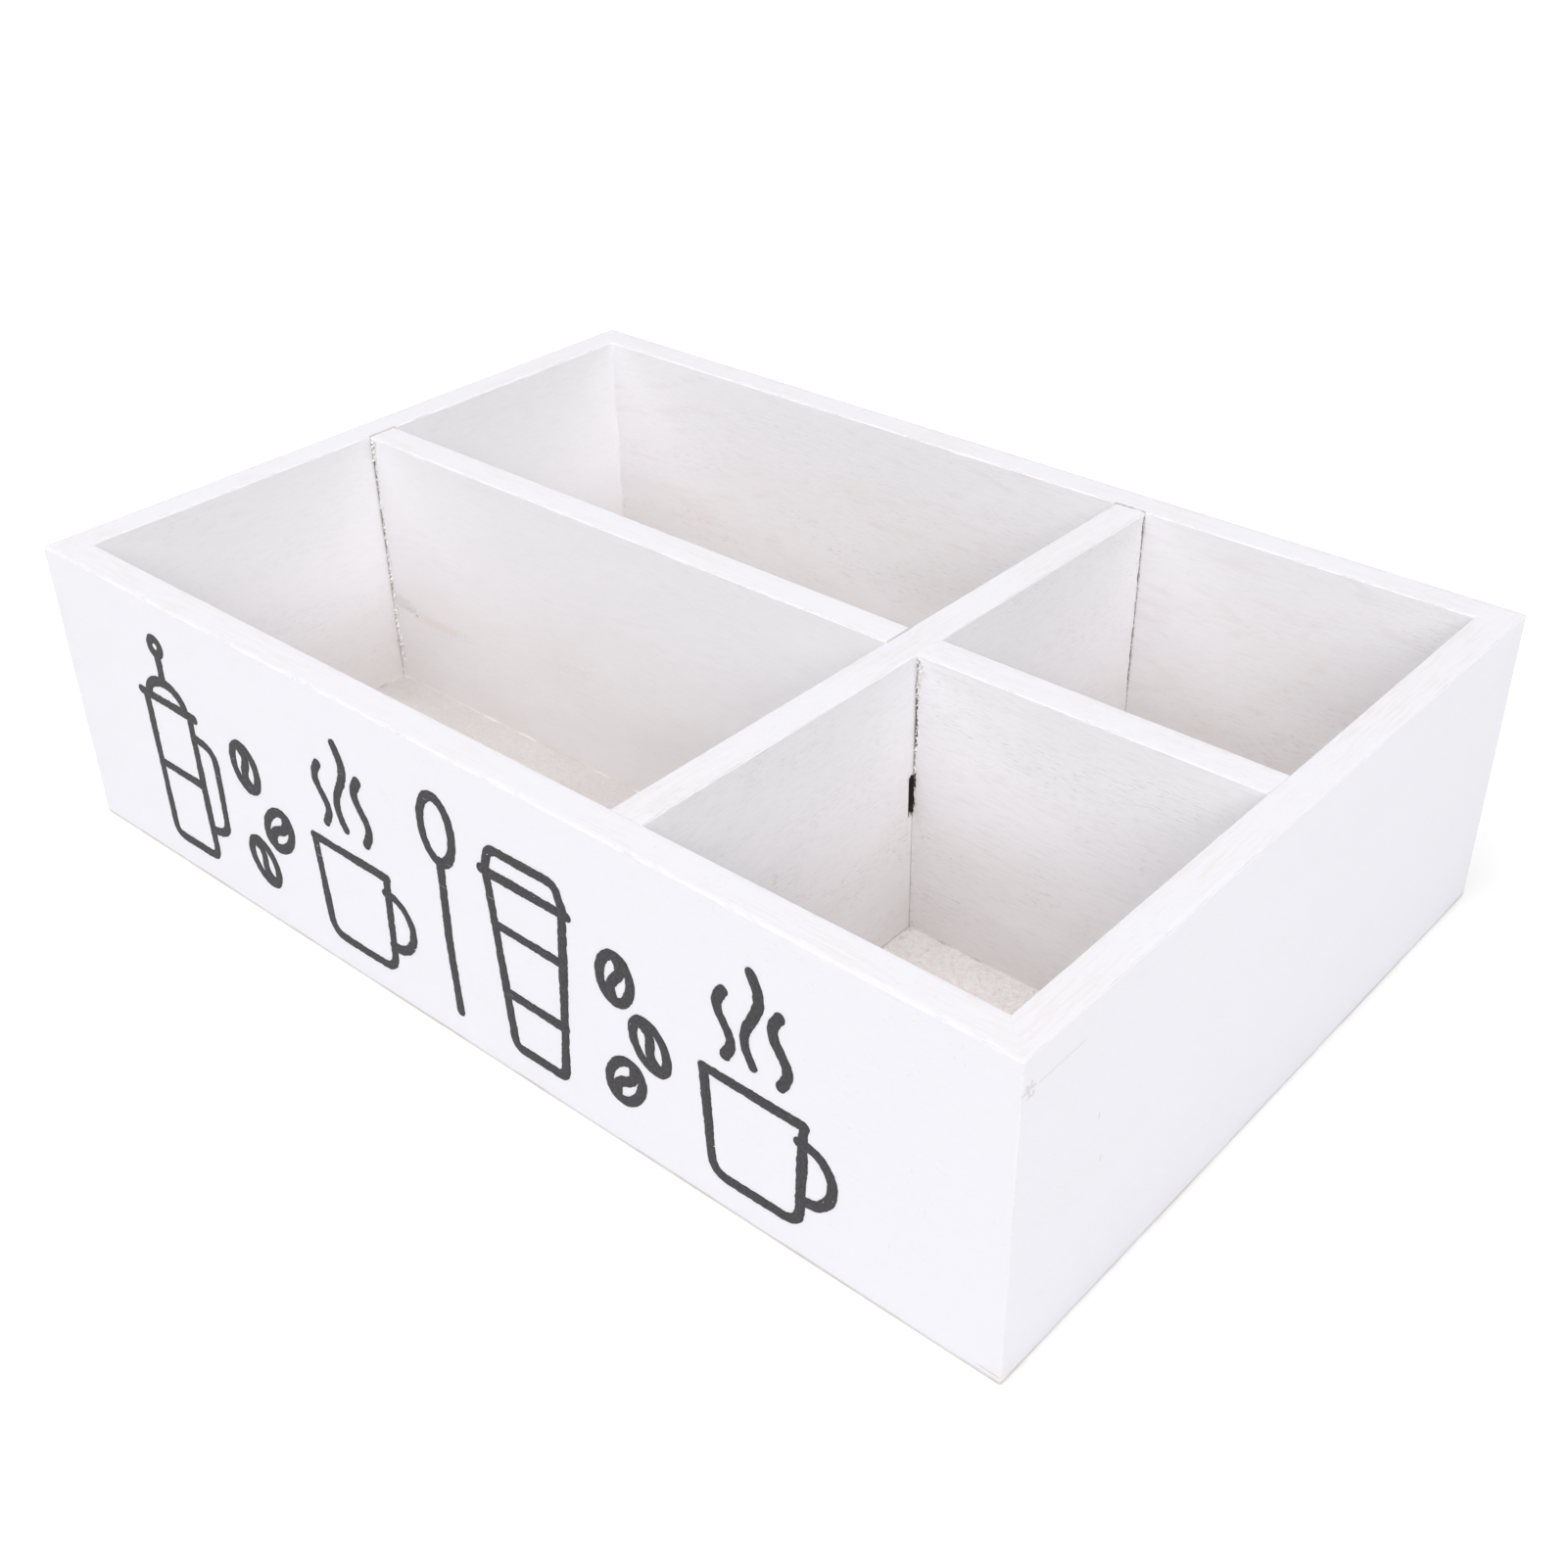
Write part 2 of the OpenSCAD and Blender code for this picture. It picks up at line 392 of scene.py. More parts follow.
# %% [markdown]
# ## Patches
# Bare wood in a crack, a smudge, a chipped slot: each is a small region with a ragged border.
# The group measures how far a point lies from the patch's centre, in units of its half sizes, and adds noise.
# The largest of the three distances makes a box, which suits cracks, and their root sum makes an egg.

# %% Patch group
def patch_group(name, boxy):
    """Mask of a ragged region: 1 inside, 0 outside, with a soft border."""
    origin = (0.0, 0.0, 0.0)
    inputs = {"Vector": origin, "Centre": origin, "Half size": (0.01,) * 3, "Ragged": 0.3, "Grain": 900.0}
    tree, given, made = new_group(name, inputs, ["Mask"])
    away = vector_maths(tree, "SUBTRACT", given["Vector"], given["Centre"])[0]
    share = vector_maths(tree, "DIVIDE", away, given["Half size"])[0]
    if boxy:
        reach = maths(tree, "MAXIMUM", *axes(tree, vector_maths(tree, "ABSOLUTE", share)[0]))
    else:
        reach = vector_maths(tree, "LENGTH", share)["Value"]
    rough = noise(tree, given["Vector"], given["Grain"], 2.0, 0.6)
    rough = times(tree, maths(tree, "SUBTRACT", rough, 0.5), given["Ragged"])
    fill(tree, made, {"Mask": threshold(tree, maths(tree, "ADD", reach, rough), 0.9, 1.1, 1.0, 0.0)})
    return tree


box_patch = patch_group("box_patch", True)
egg_patch = patch_group("egg_patch", False)
print("groups", box_patch.name, egg_patch.name)

# %% [markdown]
# ## One finish, many boards
# All boards share the paint, but not its look: the outside got a thicker coat, and the inside shows more
# wood. The inside also takes a lighter paint, a painted light, which turns darker and warmer towards the
# floor, a painted shade. So one function builds the material, and each board passes its own amounts and its
# own list of marks.

# %% Painted finish
OUTSIDE_PAINT = (0.762, 0.760, 0.800, 1)
# The front's paint: the outside paint a little darker, a painted shade that keeps the front, nearer the key
# lamp, level with the side.
FRONT_PAINT_SHADED = (0.745, 0.742, 0.780, 1)
# The tops' paint: thinner and warmer where worn, and darker as a painted shade against the light from above.
TOP_PAINT_WORN_AND_SHADED = (0.752, 0.744, 0.780, 1)
# The inside's paint: lighter than the outside's, a painted light in the compartments.
INSIDE_PAINT_LIT = (0.930, 0.922, 0.950, 1)
# Low down inside: darker and warmer, a painted shade with the warmth of bounced light.
LOW_PAINT_SHADED = (0.785, 0.752, 0.745, 1)
WARM_WOOD = (0.66, 0.50, 0.38, 1)
PORE_GREY = (0.42, 0.40, 0.40, 1)
# Rubbed arrises: a little wear, and a painted shade that dulls the highlight along the edges.
WORN_AND_SHADED_EDGE = (0.62, 0.60, 0.60, 1)
FOOT_DIRT = (0.50, 0.46, 0.40, 1)
ALONG_X = UNTURNED
ALONG_Y = (0, 0, -math.pi / 2)
RING_SHARE, CLOUD_SHARE, DASH_SHARE, PINHOLE_SHARE, EDGE_WEAR_AND_SHADE_SHARE = 0.13, 0.03, 0.38, 0.16, 0.16


def new_material(name):
    """A material with only its output, its Principled shader and the Object coordinates."""
    material = bpy.data.materials.new(name)
    material.use_nodes = True
    tree = material.node_tree
    return material, tree, tree.nodes["Principled BSDF"], put(tree, "ShaderNodeTexCoord").outputs["Object"]


def own_value(tree, label):
    """A value kept at the mesh's points."""
    return put(tree, "ShaderNodeAttribute", attribute_name=label).outputs["Fac"]


def painted_finish(name, turn, dashes, rings, tint=0.5, marks=(), lean=0.0, tops=0.20,
                   outside=OUTSIDE_PAINT, shade_below=0.075):
    """Paint over wood. Turn and lean lay the grain along the board. Dashes and rings say how much of each
    shows, tint how warm the wood is, and tops how much of it shows on the arrises. The inside takes a lighter
    paint, a painted light, and below a given height it fades to a darker, warmer paint, a painted shade.
    Marks are (patch, centre, half size, ragged, colour, strength)."""
    material, tree, shader, place = new_material(name)
    laid = stretched(tree, stretched(tree, place, turn=turn), turn=(0, lean, 0))
    grain = use_group(tree, wood, Vector=laid, Dashes=dashes, Rings=rings)
    paint = use_group(tree, coat, Vector=laid, Pinholes=0.6)
    rise = axes(tree, place)[2]
    arris, indoors = own_value(tree, "arris"), own_value(tree, "indoors")
    shown = maths(tree, "ADD", times(tree, indoors, 0.75), 0.25)
    hairs = drawn_noise(tree, laid, (190, 1700, 1700), 3.0, 0.65)
    spots = threshold(tree, drawn_noise(tree, laid, (34, 60, 60), 3.0, 0.6), 0.40, 0.60)
    streaks = threshold(tree, drawn_noise(tree, laid, (100, 1400, 1400), 2.0, 0.6), 0.42, 0.62)

    # Painted light and shade: the inside is a lighter paint than the outside, and lower down it turns darker and
    # warmer towards the floor.
    low = threshold(tree, rise, shade_below, 0.004)
    low = times(tree, low, threshold(tree, paint["Cloud"], 0.2, 0.7, 0.55, 1.0))
    inner = blend(tree, low, INSIDE_PAINT_LIT, LOW_PAINT_SHADED)
    # The tops take the tops' paint: some wear, and a painted shade.
    outer = blend(tree, threshold(tree, arris, 0.3, 0.55), outside, TOP_PAINT_WORN_AND_SHADED)
    colour = blend(tree, indoors, outer, inner)

    ringed = times(tree, grain["Rings"], shown, RING_SHARE * tint)
    cloudy = times(tree, threshold(tree, paint["Cloud"], 0.50, 0.74), CLOUD_SHARE * tint)
    warm = maths(tree, "ADD", ringed, times(tree, arris, spots, streaks, tops), cloudy)
    colour = blend(tree, warm, colour, WARM_WOOD)
    # Arrises are darkened: some wear, and a painted shade against their highlight.
    colour = blend(tree, threshold(tree, arris, 0.62, 0.95, 0, EDGE_WEAR_AND_SHADE_SHARE), colour, WORN_AND_SHADED_EDGE)
    foot = threshold(tree, rise, 0.0014, 0.0003)
    colour = blend(tree, times(tree, foot, threshold(tree, spots, 0.0, 1.0, 0.35, 0.8)), colour, FOOT_DIRT)

    dark = times(tree, grain["Dashes"], shown, DASH_SHARE, threshold(tree, rise, 0.070, 0.020, 0.45, 1.0))
    lines = times(tree, threshold(tree, hairs, 0.46, 0.70, 0, 0.03 + 0.06 * dashes), shown)
    dark = maths(tree, "MAXIMUM", dark, times(tree, paint["Pinholes"], PINHOLE_SHARE), lines)
    colour = blend(tree, dark, colour, PORE_GREY)
    for patch, centre, half, ragged, shade, strength in marks:
        mask = use_group(tree, patch, Vector=place, Centre=centre, Half_size=half, Ragged=ragged)["Mask"]
        colour = blend(tree, times(tree, mask, strength), colour, shade)

    relief = maths(tree, "ADD", times(tree, hairs, 0.6 * dashes), paint["Height"], grain["Height"])
    fill(tree, shader, {
        "Base Color": colour,
        "Roughness": threshold(tree, paint["Cloud"], 0.3, 0.7, 0.60, 0.74),
        "Normal": bump(tree, relief, 0.6, 0.00015),
        "Specular IOR Level": 0.25,
    })
    return material


print("painted finish ready")

# %% [markdown]
# ## The walls
# Four boards with mitred ends. Their outside is a hair inside the true face, which leaves room for paint
# waves and print. The relief is pushed inwards along the section's normal: long waves from levelling, brush
# lines, a wandering arris, small dents along the rim, and a shallow seam where two boards meet in a mitre.

# %% Wall section
SKIN = 0.12 * MM


def arc(centre, radius, begin, end, steps=6):
    """Points centre + radius * (cos a, sin a), with the angle a going evenly from begin to end in degrees."""
    a = np.radians(np.linspace(begin, end, steps))
    return np.array(centre) + radius * np.stack([np.cos(a), np.sin(a)], -1)


def column(depth, heights):
    """Points at one depth, at the given heights."""
    return np.stack([np.full(len(heights), depth), heights], -1)


def softened_top(left_r, right_r, thickness, top, steps, margins):
    """A board's top edge: an arris at either side, and even points between, margins times the radii in."""
    level = np.linspace(margins[0] * left_r, thickness - margins[1] * right_r, steps)
    return np.concatenate([
        arc((left_r, top - left_r), left_r, 180, 90),
        np.stack([level, np.full(steps, top)], -1),
        arc((thickness - right_r, top - right_r), right_r, 90, 0),
    ])


def wall_section(rows):
    """Ring of (depth, height) points: foot, outside face, rim, inside face and rabbet."""
    outside = rows[(rows > 1.2 * foot_r) & (rows < height - 1.1 * rim_outer_r)]
    inside = rows[(rows > floor_t) & (rows < height - 1.1 * rim_inner_r)][::-1]
    rabbet = wall_t - rabbet_w
    return np.concatenate([
        arc((foot_r, foot_r), foot_r, 270, 180, 4),
        column(0, outside),
        softened_top(rim_outer_r, rim_inner_r, wall_t, height, 8, (1.2, 1.4)),
        column(wall_t, inside),
        [[wall_t, floor_t], [rabbet, floor_t], [rabbet, 0]],
    ])


def ring_normals(ring):
    """Unit normals of a ring: the line between a point's neighbours, turned a quarter to the left."""
    way = np.roll(ring, -1, axis=0) - np.roll(ring, 1, axis=0)
    way /= np.linalg.norm(way, axis=1)[:, None]
    return np.stack([-way[:, 1], way[:, 0]], -1)


def path_length(path):
    """Distance walked to each point of a path."""
    return np.concatenate([[0], np.cumsum(np.linalg.norm(np.diff(path, axis=0), axis=1))])


def arris_share(normals):
    """1 on a rounded arris, where the normal leans both ways, and 0 on a flat face: |sin of twice its angle|."""
    return np.clip(2.2 * np.abs(normals[:, 0] * normals[:, 1]), 0, 1)


def bell(away, width):
    """exp(-(away / width) ** 2): 1 at the middle, and nearly nothing beyond twice the width."""
    return np.exp(-((away / width) ** 2))


def dents(along, count, length, seed):
    """Small knocks along an arris: a sum of bells, each with its own place, width and depth."""
    random = np.random.default_rng(seed)
    centre, width = random.uniform(0, length, count), random.uniform(0.4, 1.8, count) * MM
    depth = random.uniform(0.05, 0.32, count) * MM
    return (bell(along[..., None] - centre, width) * depth).sum(-1)


def coat_relief(distance, ring, arris, length, seed, wander_step, dent_step):
    """Depth of the coat, never above the face: waves of 0.03 mm from levelling, finer ripples and brush
    lines, and along the arris a wander and one dent for every dent step."""
    around = path_length(ring)[None, :]
    levelling = waves(0.03, distance, around, 22 * MM, 13 * MM, seed)
    ripple = waves(0.012, distance, around, 7 * MM, 5 * MM, seed + 1)
    brush = waves(0.006, distance, around, 30 * MM, 1.7 * MM, seed + 2)
    wander = waves(0.05 * MM, distance, 0, wander_step, 1, seed + 3)
    wander = wander + waves(0.05 * MM, distance, around, 1.7 * MM, 4 * MM, seed + 6)
    knocks = dents(distance, int(length / dent_step), length, seed + 4)
    return (levelling + ripple + brush) * MM + arris * (wander + knocks)


def corner_round(distance, radius):
    """How far a face falls back near an upright corner, measured from the mitre.

    With w the rest of the radius, w * w + (w - d) * (w - d) = r * r gives w = (d + sqrt(2 r r - d d)) / 2.
    """
    d = np.clip(distance, 0, radius)
    return radius - (d + np.sqrt(2 * radius**2 - d**2)) / 2


print("a corner falls back", round(float(corner_round(0, corner_r)) / MM, 3), "mm at the mitre")

# %% Wall boards
def wall_board(name, start, along, inward, length, seed, rows, stations, extra):
    """Carries the wall's section along one side. At a depth the board runs from depth to length - depth,
    which makes the mitres."""
    ring = wall_section(rows)
    normals = ring_normals(ring)
    share = stations[:, None] / length
    distance = share * length
    ends = np.minimum(distance, length - distance)
    arris = arris_share(normals)[None, :]
    outer, up = np.clip(-normals[:, 0], 0, 1)[None, :], np.clip(normals[:, 1], 0, 1)[None, :]
    calm = np.clip(ends / (3 * MM), 0, 1)
    own = coat_relief(distance, ring, arris, length, seed, 14 * MM, 7 * MM)
    relief = SKIN / 2 + calm * own + (1 - calm) * (0.04 + 0.05 * arris) * MM
    wobble = 1 + 0.25 * soft_noise(ring[None, :, 1], 0, 6 * MM, 1, 5)
    relief = relief + outer * (SKIN / 2 + corner_round(ends, corner_r * wobble))
    relief = relief + up * (0.03 * MM * bell(ends, 0.3 * MM))
    relief = relief + extra(distance, ring)
    depth = ring[None, :, 0] - normals[None, :, 0] * relief
    rise = ring[None, :, 1] - normals[None, :, 1] * relief
    travel = depth + share * (length - 2 * depth)
    points = laid_out(start, (travel, along), (depth, inward), (rise, UP))
    # The upright corner counts as an arris too, so it takes the arrises' wear and painted shade.
    corner = bell(ends, 0.45 * MM) * outer
    indoors = np.clip(normals[:, 0], 0, 1) * (ring[:, 1] > floor_t / 2)
    masks = {"arris": np.maximum(np.maximum(arris, up * 0.6), corner), "indoors": indoors[None, :]}
    return add_mesh(name, points, outward_faces(points), masks)


corner_high = height - 7.5 * MM
corner_low = 22 * MM
corner_mid = (corner_high + corner_low) / 2
split_height = height - 7.9 * MM
split_start, split_end = 2.6 * MM, 20.0 * MM
split_middle = (split_start + split_end) / 2


def brad_seats(distance, ring, heights, length):
    """Shallow dimples where filler sank over the brads at both ends, 0.05 mm deep and 1.3 mm in radius."""
    sunk = 0
    for z in heights:
        for x in (wall_t / 2, length - wall_t / 2):
            away = ((distance - x) ** 2 + (ring[None, :, 1] - z) ** 2) / (1.3 * MM) ** 2
            sunk = sunk + 0.05 * MM * np.exp(-away)
    return sunk * (ring[None, :, 0] < rim_outer_r)


def plain_relief(distance, ring):
    """The relief of the front and the back: filled brads at both corners."""
    return brad_seats(distance, ring, [corner_mid], 2 * half_x)


def split_relief(distance, ring):
    """Filled brads, and a split that starts at the top one: a groove 0.14 mm deep that tapers to nothing."""
    sunk = brad_seats(distance, ring, [corner_high, corner_low], 2 * half_y)
    share = np.clip((distance - split_start) / (split_end - split_start), 0, 1)
    taper = np.sqrt(share * (1 - share)) * 2 * (0.7 + 0.3 * soft_noise(distance, 0, 1.5 * MM, 1, 41))
    middle = split_height + 0.35 * MM * soft_noise(distance, 0, 5 * MM, 1, 42)
    groove = bell(ring[None, :, 1] - middle, 0.16 * MM) * taper * 0.14 * MM
    away = (distance - split_start) ** 2 + (ring[None, :, 1] - split_height) ** 2
    knock = np.exp(-away / (0.9 * MM) ** 2)
    rough = waves(0.12 * MM, distance, ring[None, :, 1], 0.5 * MM, 0.5 * MM, 43)
    return sunk + (groove + knock * rough) * (ring[None, :, 0] < rim_outer_r)


def no_relief(distance, ring):
    """Nothing beyond the coat."""
    return 0


bare_wood = (0.34, 0.28, 0.25, 1)
dust_grey = (0.50, 0.50, 0.50, 1)
rose = (0.80, 0.66, 0.64, 1)
mauve = (0.52, 0.45, 0.47, 1)
near_foot = (half_x, -half_y, 0.0015)
long_middle = (long_low[0] + long_high[0]) / 2
upright = divider_top / 2
seam_half = (0.0006, divider_t / 2, upright)

# The front's outside paint is a little darker than the side's, a painted shade.
front_paint = painted_finish("front_paint", ALONG_X, 0.25, 0.05, outside=FRONT_PAINT_SHADED, marks=[
    (egg_patch, near_foot, (0.004, 0.004, 0.003), 0.9, rose, 0.14),
    (egg_patch, (half_x - 0.0025, -half_y, 0.0020), (0.0028, 0.002, 0.0002), 1.0, mauve, 0.6),
])
right_paint = painted_finish("right_paint", ALONG_Y, 0.35, 0.5, tops=0.30, marks=[
    (egg_patch, near_foot, (0.004, 0.004, 0.003), 0.9, rose, 0.18),
    (egg_patch, (half_x, -half_y + split_start, split_height), (0.002, 0.0016, 0.0013), 5.0, mauve, 0.42),
    (egg_patch, (half_x, -half_y + split_middle, split_height), (0.002, 0.0095, 0.0003), 2.0, mauve, 0.20),
    (egg_patch, (half_x, -0.0733, 0.0491), (0.002, 0.0003, 0.0009), 0.6, dust_grey, 0.35),
    (egg_patch, (half_x, -0.0713, 0.0371), (0.002, 0.0003, 0.0008), 0.6, dust_grey, 0.30),
])
back_paint = painted_finish("back_paint", ALONG_X, 0.55, 1.0, tint=0.8, lean=-0.01, shade_below=0.088, marks=[
    (box_patch, (long_middle, half_y - wall_t, upright), (divider_t / 2, 0.0006, upright), 0.2, bare_wood, 1.0),
])
left_paint = painted_finish("left_paint", ALONG_Y, 0.35, 0.35, shade_below=0.05, marks=[
    (box_patch, (wall_t - half_x, row_middle, upright), seam_half, 0.06, bare_wood, 1.0),
])

plain_rows = places(0, height, 1.0 * MM)
split_rows = places(0, height, 1.0 * MM, [(split_height, 1.4 * MM, 0.13 * MM)])
split_at = [(4 * MM, 3 * MM, 0.3 * MM)]
for side, start, along, inward, length, seed, rows, finer, extra, paint in (
    ("front", (-half_x, -half_y, 0), X, Y, 2 * half_x, 11, plain_rows, [], plain_relief, front_paint),
    ("right", (half_x, -half_y, 0), Y, minus_x, 2 * half_y, 21, split_rows, split_at, split_relief, right_paint),
    ("back", (half_x, half_y, 0), minus_x, minus_y, 2 * half_x, 31, plain_rows, [], plain_relief, back_paint),
    ("left", (-half_x, half_y, 0), minus_y, X, 2 * half_y, 41, plain_rows, [], no_relief, left_paint),
):
    mitres = [(0, 1.6 * MM, 0.2 * MM), (length, 1.6 * MM, 0.2 * MM)]
    stations = places(0, length, 1.05 * MM, mitres + finer)
    wall = wall_board(f"{side}_wall", start, along, inward, length, seed, rows, stations, extra)
    finish_piece(wall, paint, f"{side}_board")

# %% [markdown]
# ## The floor sheet
# The floor is thin plywood that took its paint badly: rough as plaster, with pits and raised grain.
# A ring round its section is carried from one side of the box to the other, and only its top is roughened.

# %% Floor sheet
HEADS_PROUD = 0.06 * MM


def floor_sheet():
    """Rings of (y, z) points along x. The top sinks by noise at three scales, and pits where the
    finest noise is high. The underside lies HEADS_PROUD above the brads' heads, so that these show."""
    across = places(panel_low[1], panel_high[1], 1.05 * MM)
    below = np.linspace(panel_high[1], panel_low[1], 24)
    edge = np.array([0.66, 0.33]) * floor_t
    ring_y = np.concatenate([across, np.full(2, panel_high[1]), below, np.full(2, panel_low[1])])
    underside = np.full(len(below), HEADS_PROUD)
    ring_z = np.concatenate([np.full(len(across), floor_t), edge, underside, edge[::-1]])
    on_top = ring_z > 0.9 * floor_t
    x = places(panel_low[0], panel_high[0], 1.05 * MM)[:, None]
    x, y, z = np.broadcast_arrays(x, ring_y, ring_z)
    broad = waves(0.05, x, y, 17 * MM, 11 * MM, 61)
    rough = waves(0.07, x, y, 3.4 * MM, 2.1 * MM, 62)
    pits = 0.10 * np.clip(soft_noise(x, y, 1.7 * MM, 1.5 * MM, 63), 0, 1)
    points = np.stack([x, y, z - (broad + rough + pits) * MM * on_top], -1)
    return add_mesh("floor_sheet", points, outward_faces(points), {"arris": 0.0, "indoors": on_top})


def floor_finish():
    """Thin matt paint on plywood: warm, dusty, with open pits, and thinner left of the long divider."""
    material, tree, shader, place = new_material("floor_paint")
    grain = use_group(tree, wood, Vector=place, Dashes=0.5, Rings=0.6)
    paint = use_group(tree, coat, Vector=place, Pinholes=1.0)
    crumbs = noise(tree, place, 900.0, 4.0, 0.75)
    flecks = drawn_noise(tree, place, (1300, 1700, 1700), 2.0, 0.6)
    east = threshold(tree, axes(tree, place)[0], long_low[0], long_high[0])
    east = times(tree, east, own_value(tree, "indoors"))
    coarse = threshold(tree, east, 0, 1, 0.35, 1.0)
    cloudy = threshold(tree, paint["Cloud"], 0.3, 0.7)
    thin = blend(tree, cloudy, (0.655, 0.615, 0.598, 1), (0.685, 0.653, 0.644, 1))
    full = blend(tree, cloudy, (0.805, 0.752, 0.733, 1), (0.835, 0.800, 0.790, 1))
    colour = blend(tree, east, thin, full)
    colour = blend(tree, times(tree, grain["Rings"], 0.15), colour, WARM_WOOD)
    for source, low, high, share, shade in (
        (crumbs, 0.47, 0.62, 0.22, (0.58, 0.48, 0.45, 1)),
        (crumbs, 0.46, 0.36, 0.40, (0.92, 0.90, 0.89, 1)),
        (flecks, 0.60, 0.72, 0.32, (0.44, 0.37, 0.34, 1)),
    ):
        mask = times(tree, threshold(tree, source, low, high, 0, share), coarse)
        colour = blend(tree, mask, colour, shade)
    relief = maths(tree, "SUBTRACT", crumbs, times(tree, threshold(tree, flecks, 0.60, 0.72), 0.4))
    normal = bump(tree, relief, 0.8, 0.0005)
    fill(tree, shader, {"Base Color": colour, "Normal": normal, "Roughness": 0.85, "Specular IOR Level": 0.2})
    return material


finish_piece(floor_sheet(), floor_finish(), "floor_panel")

# %% [markdown]
# ## The dividers
# A divider is a plain board with a softened top. What makes it real is where it ends: the boards moved a
# little after painting, so the film tore and the sawn end shows as a ragged dark line. Each end retreats
# from its wall by a ragged amount that changes with height, more on the face that cracked.

# %% Divider boards
def divider_section(rows):
    """Ring of (depth, height) points, the same on both faces, so that point j pairs with the last but j."""
    face = rows[(rows >= floor_t) & (rows < divider_top - 1.1 * rim_inner_r)]
    return np.concatenate([
        column(0, face),
        softened_top(rim_inner_r, rim_inner_r, divider_t, divider_top, 6, (1.5, 1.5)),
        column(divider_t, face[::-1]),
    ])


def torn_edge(heights, amount, tooth, seed):
    """Ragged retreat of a torn edge: noise at the given tooth and at four times it, never below zero."""
    coarse = soft_noise(heights, 0, 4 * tooth, 1, seed)
    fine = soft_noise(heights, 0, tooth, 1, seed + 1)
    return amount * np.clip(0.45 + 0.45 * coarse + 0.35 * fine, 0.08, None)


def divider(name, start, along, sideways, length, seed, rows, stations, tears, extra):
    """A divider between two faces. Tears are four functions of height: the retreat at the start's near
    and far face, and at the end's near and far face. Each fades out over 3 mm."""
    ring = divider_section(rows)
    normals = ring_normals(ring)
    normals[[0, -1]] = [[-1, 0], [1, 0]]
    share = stations[:, None] / length
    distance = share * length
    arris, up = arris_share(normals)[None, :], np.clip(normals[:, 1], 0, 1)[None, :]
    relief = SKIN / 2 + coat_relief(distance, ring, arris, length, seed, 12 * MM, 8 * MM)
    relief = relief + extra(distance, ring)
    depth = ring[None, :, 0] - normals[None, :, 0] * relief
    rise = ring[None, :, 1] - normals[None, :, 1] * relief
    far = ring[:, 0] / divider_t
    near_first, far_first, near_last, far_last = (tear(ring[:, 1]) for tear in tears)
    first = near_first * (1 - far) + far_first * far
    last = near_last * (1 - far) + far_last * far
    reach = 3 * MM
    pull = np.clip(1 - distance / reach, 0, 1) ** 2 * first[None, :]
    push = np.clip(1 - (length - distance) / reach, 0, 1) ** 2 * last[None, :]
    points = laid_out(start, (distance + pull - push, along), (depth, sideways), (rise, UP))
    masks = {"arris": np.maximum(arris, up * 0.6), "indoors": 1 - up}
    return add_mesh(name, points, outward_faces(points, paired=True), masks)


def tight(seed):
    """A seam that paint closed, but for pinpricks: the end runs up to 0.3 mm into its neighbour's coat."""
    return lambda z: torn_edge(z, 0.30 * MM, 0.9 * MM, seed) - 0.32 * MM


def cracked(seed, amount, low_share):
    """A seam torn over its upper part, sealed at the very top, and nearly shut below the given share of
    the height."""
    def retreat(z):
        share = np.clip((z / divider_top - low_share) / 0.06, 0, 1)
        sealed = np.clip((z - divider_top + 1.6 * MM) / MM, 0, 1)
        torn = torn_edge(z, (0.35 + 0.65 * share) * amount, 0.7 * MM, seed) - 0.36 * MM * (1 - share)
        return torn * (1 - sealed) - 0.50 * MM * sealed
    return retreat


slot_middle = np.array((row_front - 0.6 * MM, 41.9 * MM))
slot_half = np.array((0.85 * MM, 5.2 * MM))
slot_depth = 2.6 * MM


def slot_relief(distance, ring):
    """A chipped slot beside the narrow divider's end: a ragged rounded box, with its shares u and v of the
    half sizes in (u**4 + v**4) ** 0.25, and a border near 1.1."""
    y = long_low[1] + distance
    z = ring[None, :, 1]
    rough = 0.07 * soft_noise(y, z, 0.7 * MM, 1.3 * MM, 71)
    away = (np.abs(y - slot_middle[0]) / slot_half[0]) ** 4 + (np.abs(z - slot_middle[1]) / slot_half[1]) ** 4
    inside = np.clip((1.1 + rough - away**0.25) / 0.2, 0, 1)
    return slot_depth * inside * (ring[None, :, 0] < rim_inner_r)


tan = (0.72, 0.60, 0.46, 1)
# The chipped slot: bare end grain, darkened far below its own colour as a painted shade of the deep, narrow
# hole.
slot_shade_brown = (0.045, 0.030, 0.024, 1)
slot_shade_half = (0.004, 1.3 * slot_half[0], 1.05 * slot_half[1])
wide_paint = painted_finish("wide_divider_paint", ALONG_X, 0.18, 0.40, tint=0.7, marks=[
    (egg_patch, (-0.1355, row_front, 0.0288), (0.0052, 0.002, 0.0020), 2.2, (0.56, 0.61, 0.64, 1), 0.30),
    (egg_patch, (-0.1325, row_front, 0.0276), (0.0030, 0.002, 0.0006), 2.0, (0.50, 0.56, 0.60, 1), 0.30),
    (egg_patch, (-0.1298, row_front, 0.0266), (0.0006, 0.002, 0.0005), 1.0, (0.34, 0.34, 0.36, 1), 0.5),
    (egg_patch, (-0.1190, row_front, 0.0266), (0.0110, 0.002, 0.0016), 3.5, tan, 0.20),
])
narrow_paint = painted_finish("narrow_divider_paint", ALONG_X, 1.0, 0.35, tint=0.5, lean=-0.02)
long_paint = painted_finish("long_divider_paint", ALONG_Y, 0.9, 0.3, tint=0.8, marks=[
    (box_patch, (long_high[0], row_middle, 0.036), (0.0006, divider_t / 2, 0.036), 0.06, bare_wood, 1.0),
    (box_patch, (long_low[0], row_middle, upright), seam_half, 0.06, bare_wood, 1.0),
    # The slot's bare wood, with painted shade.
    (box_patch, (long_high[0], slot_middle[0], slot_middle[1]), slot_shade_half, 0.05, slot_shade_brown, 1.0),
])

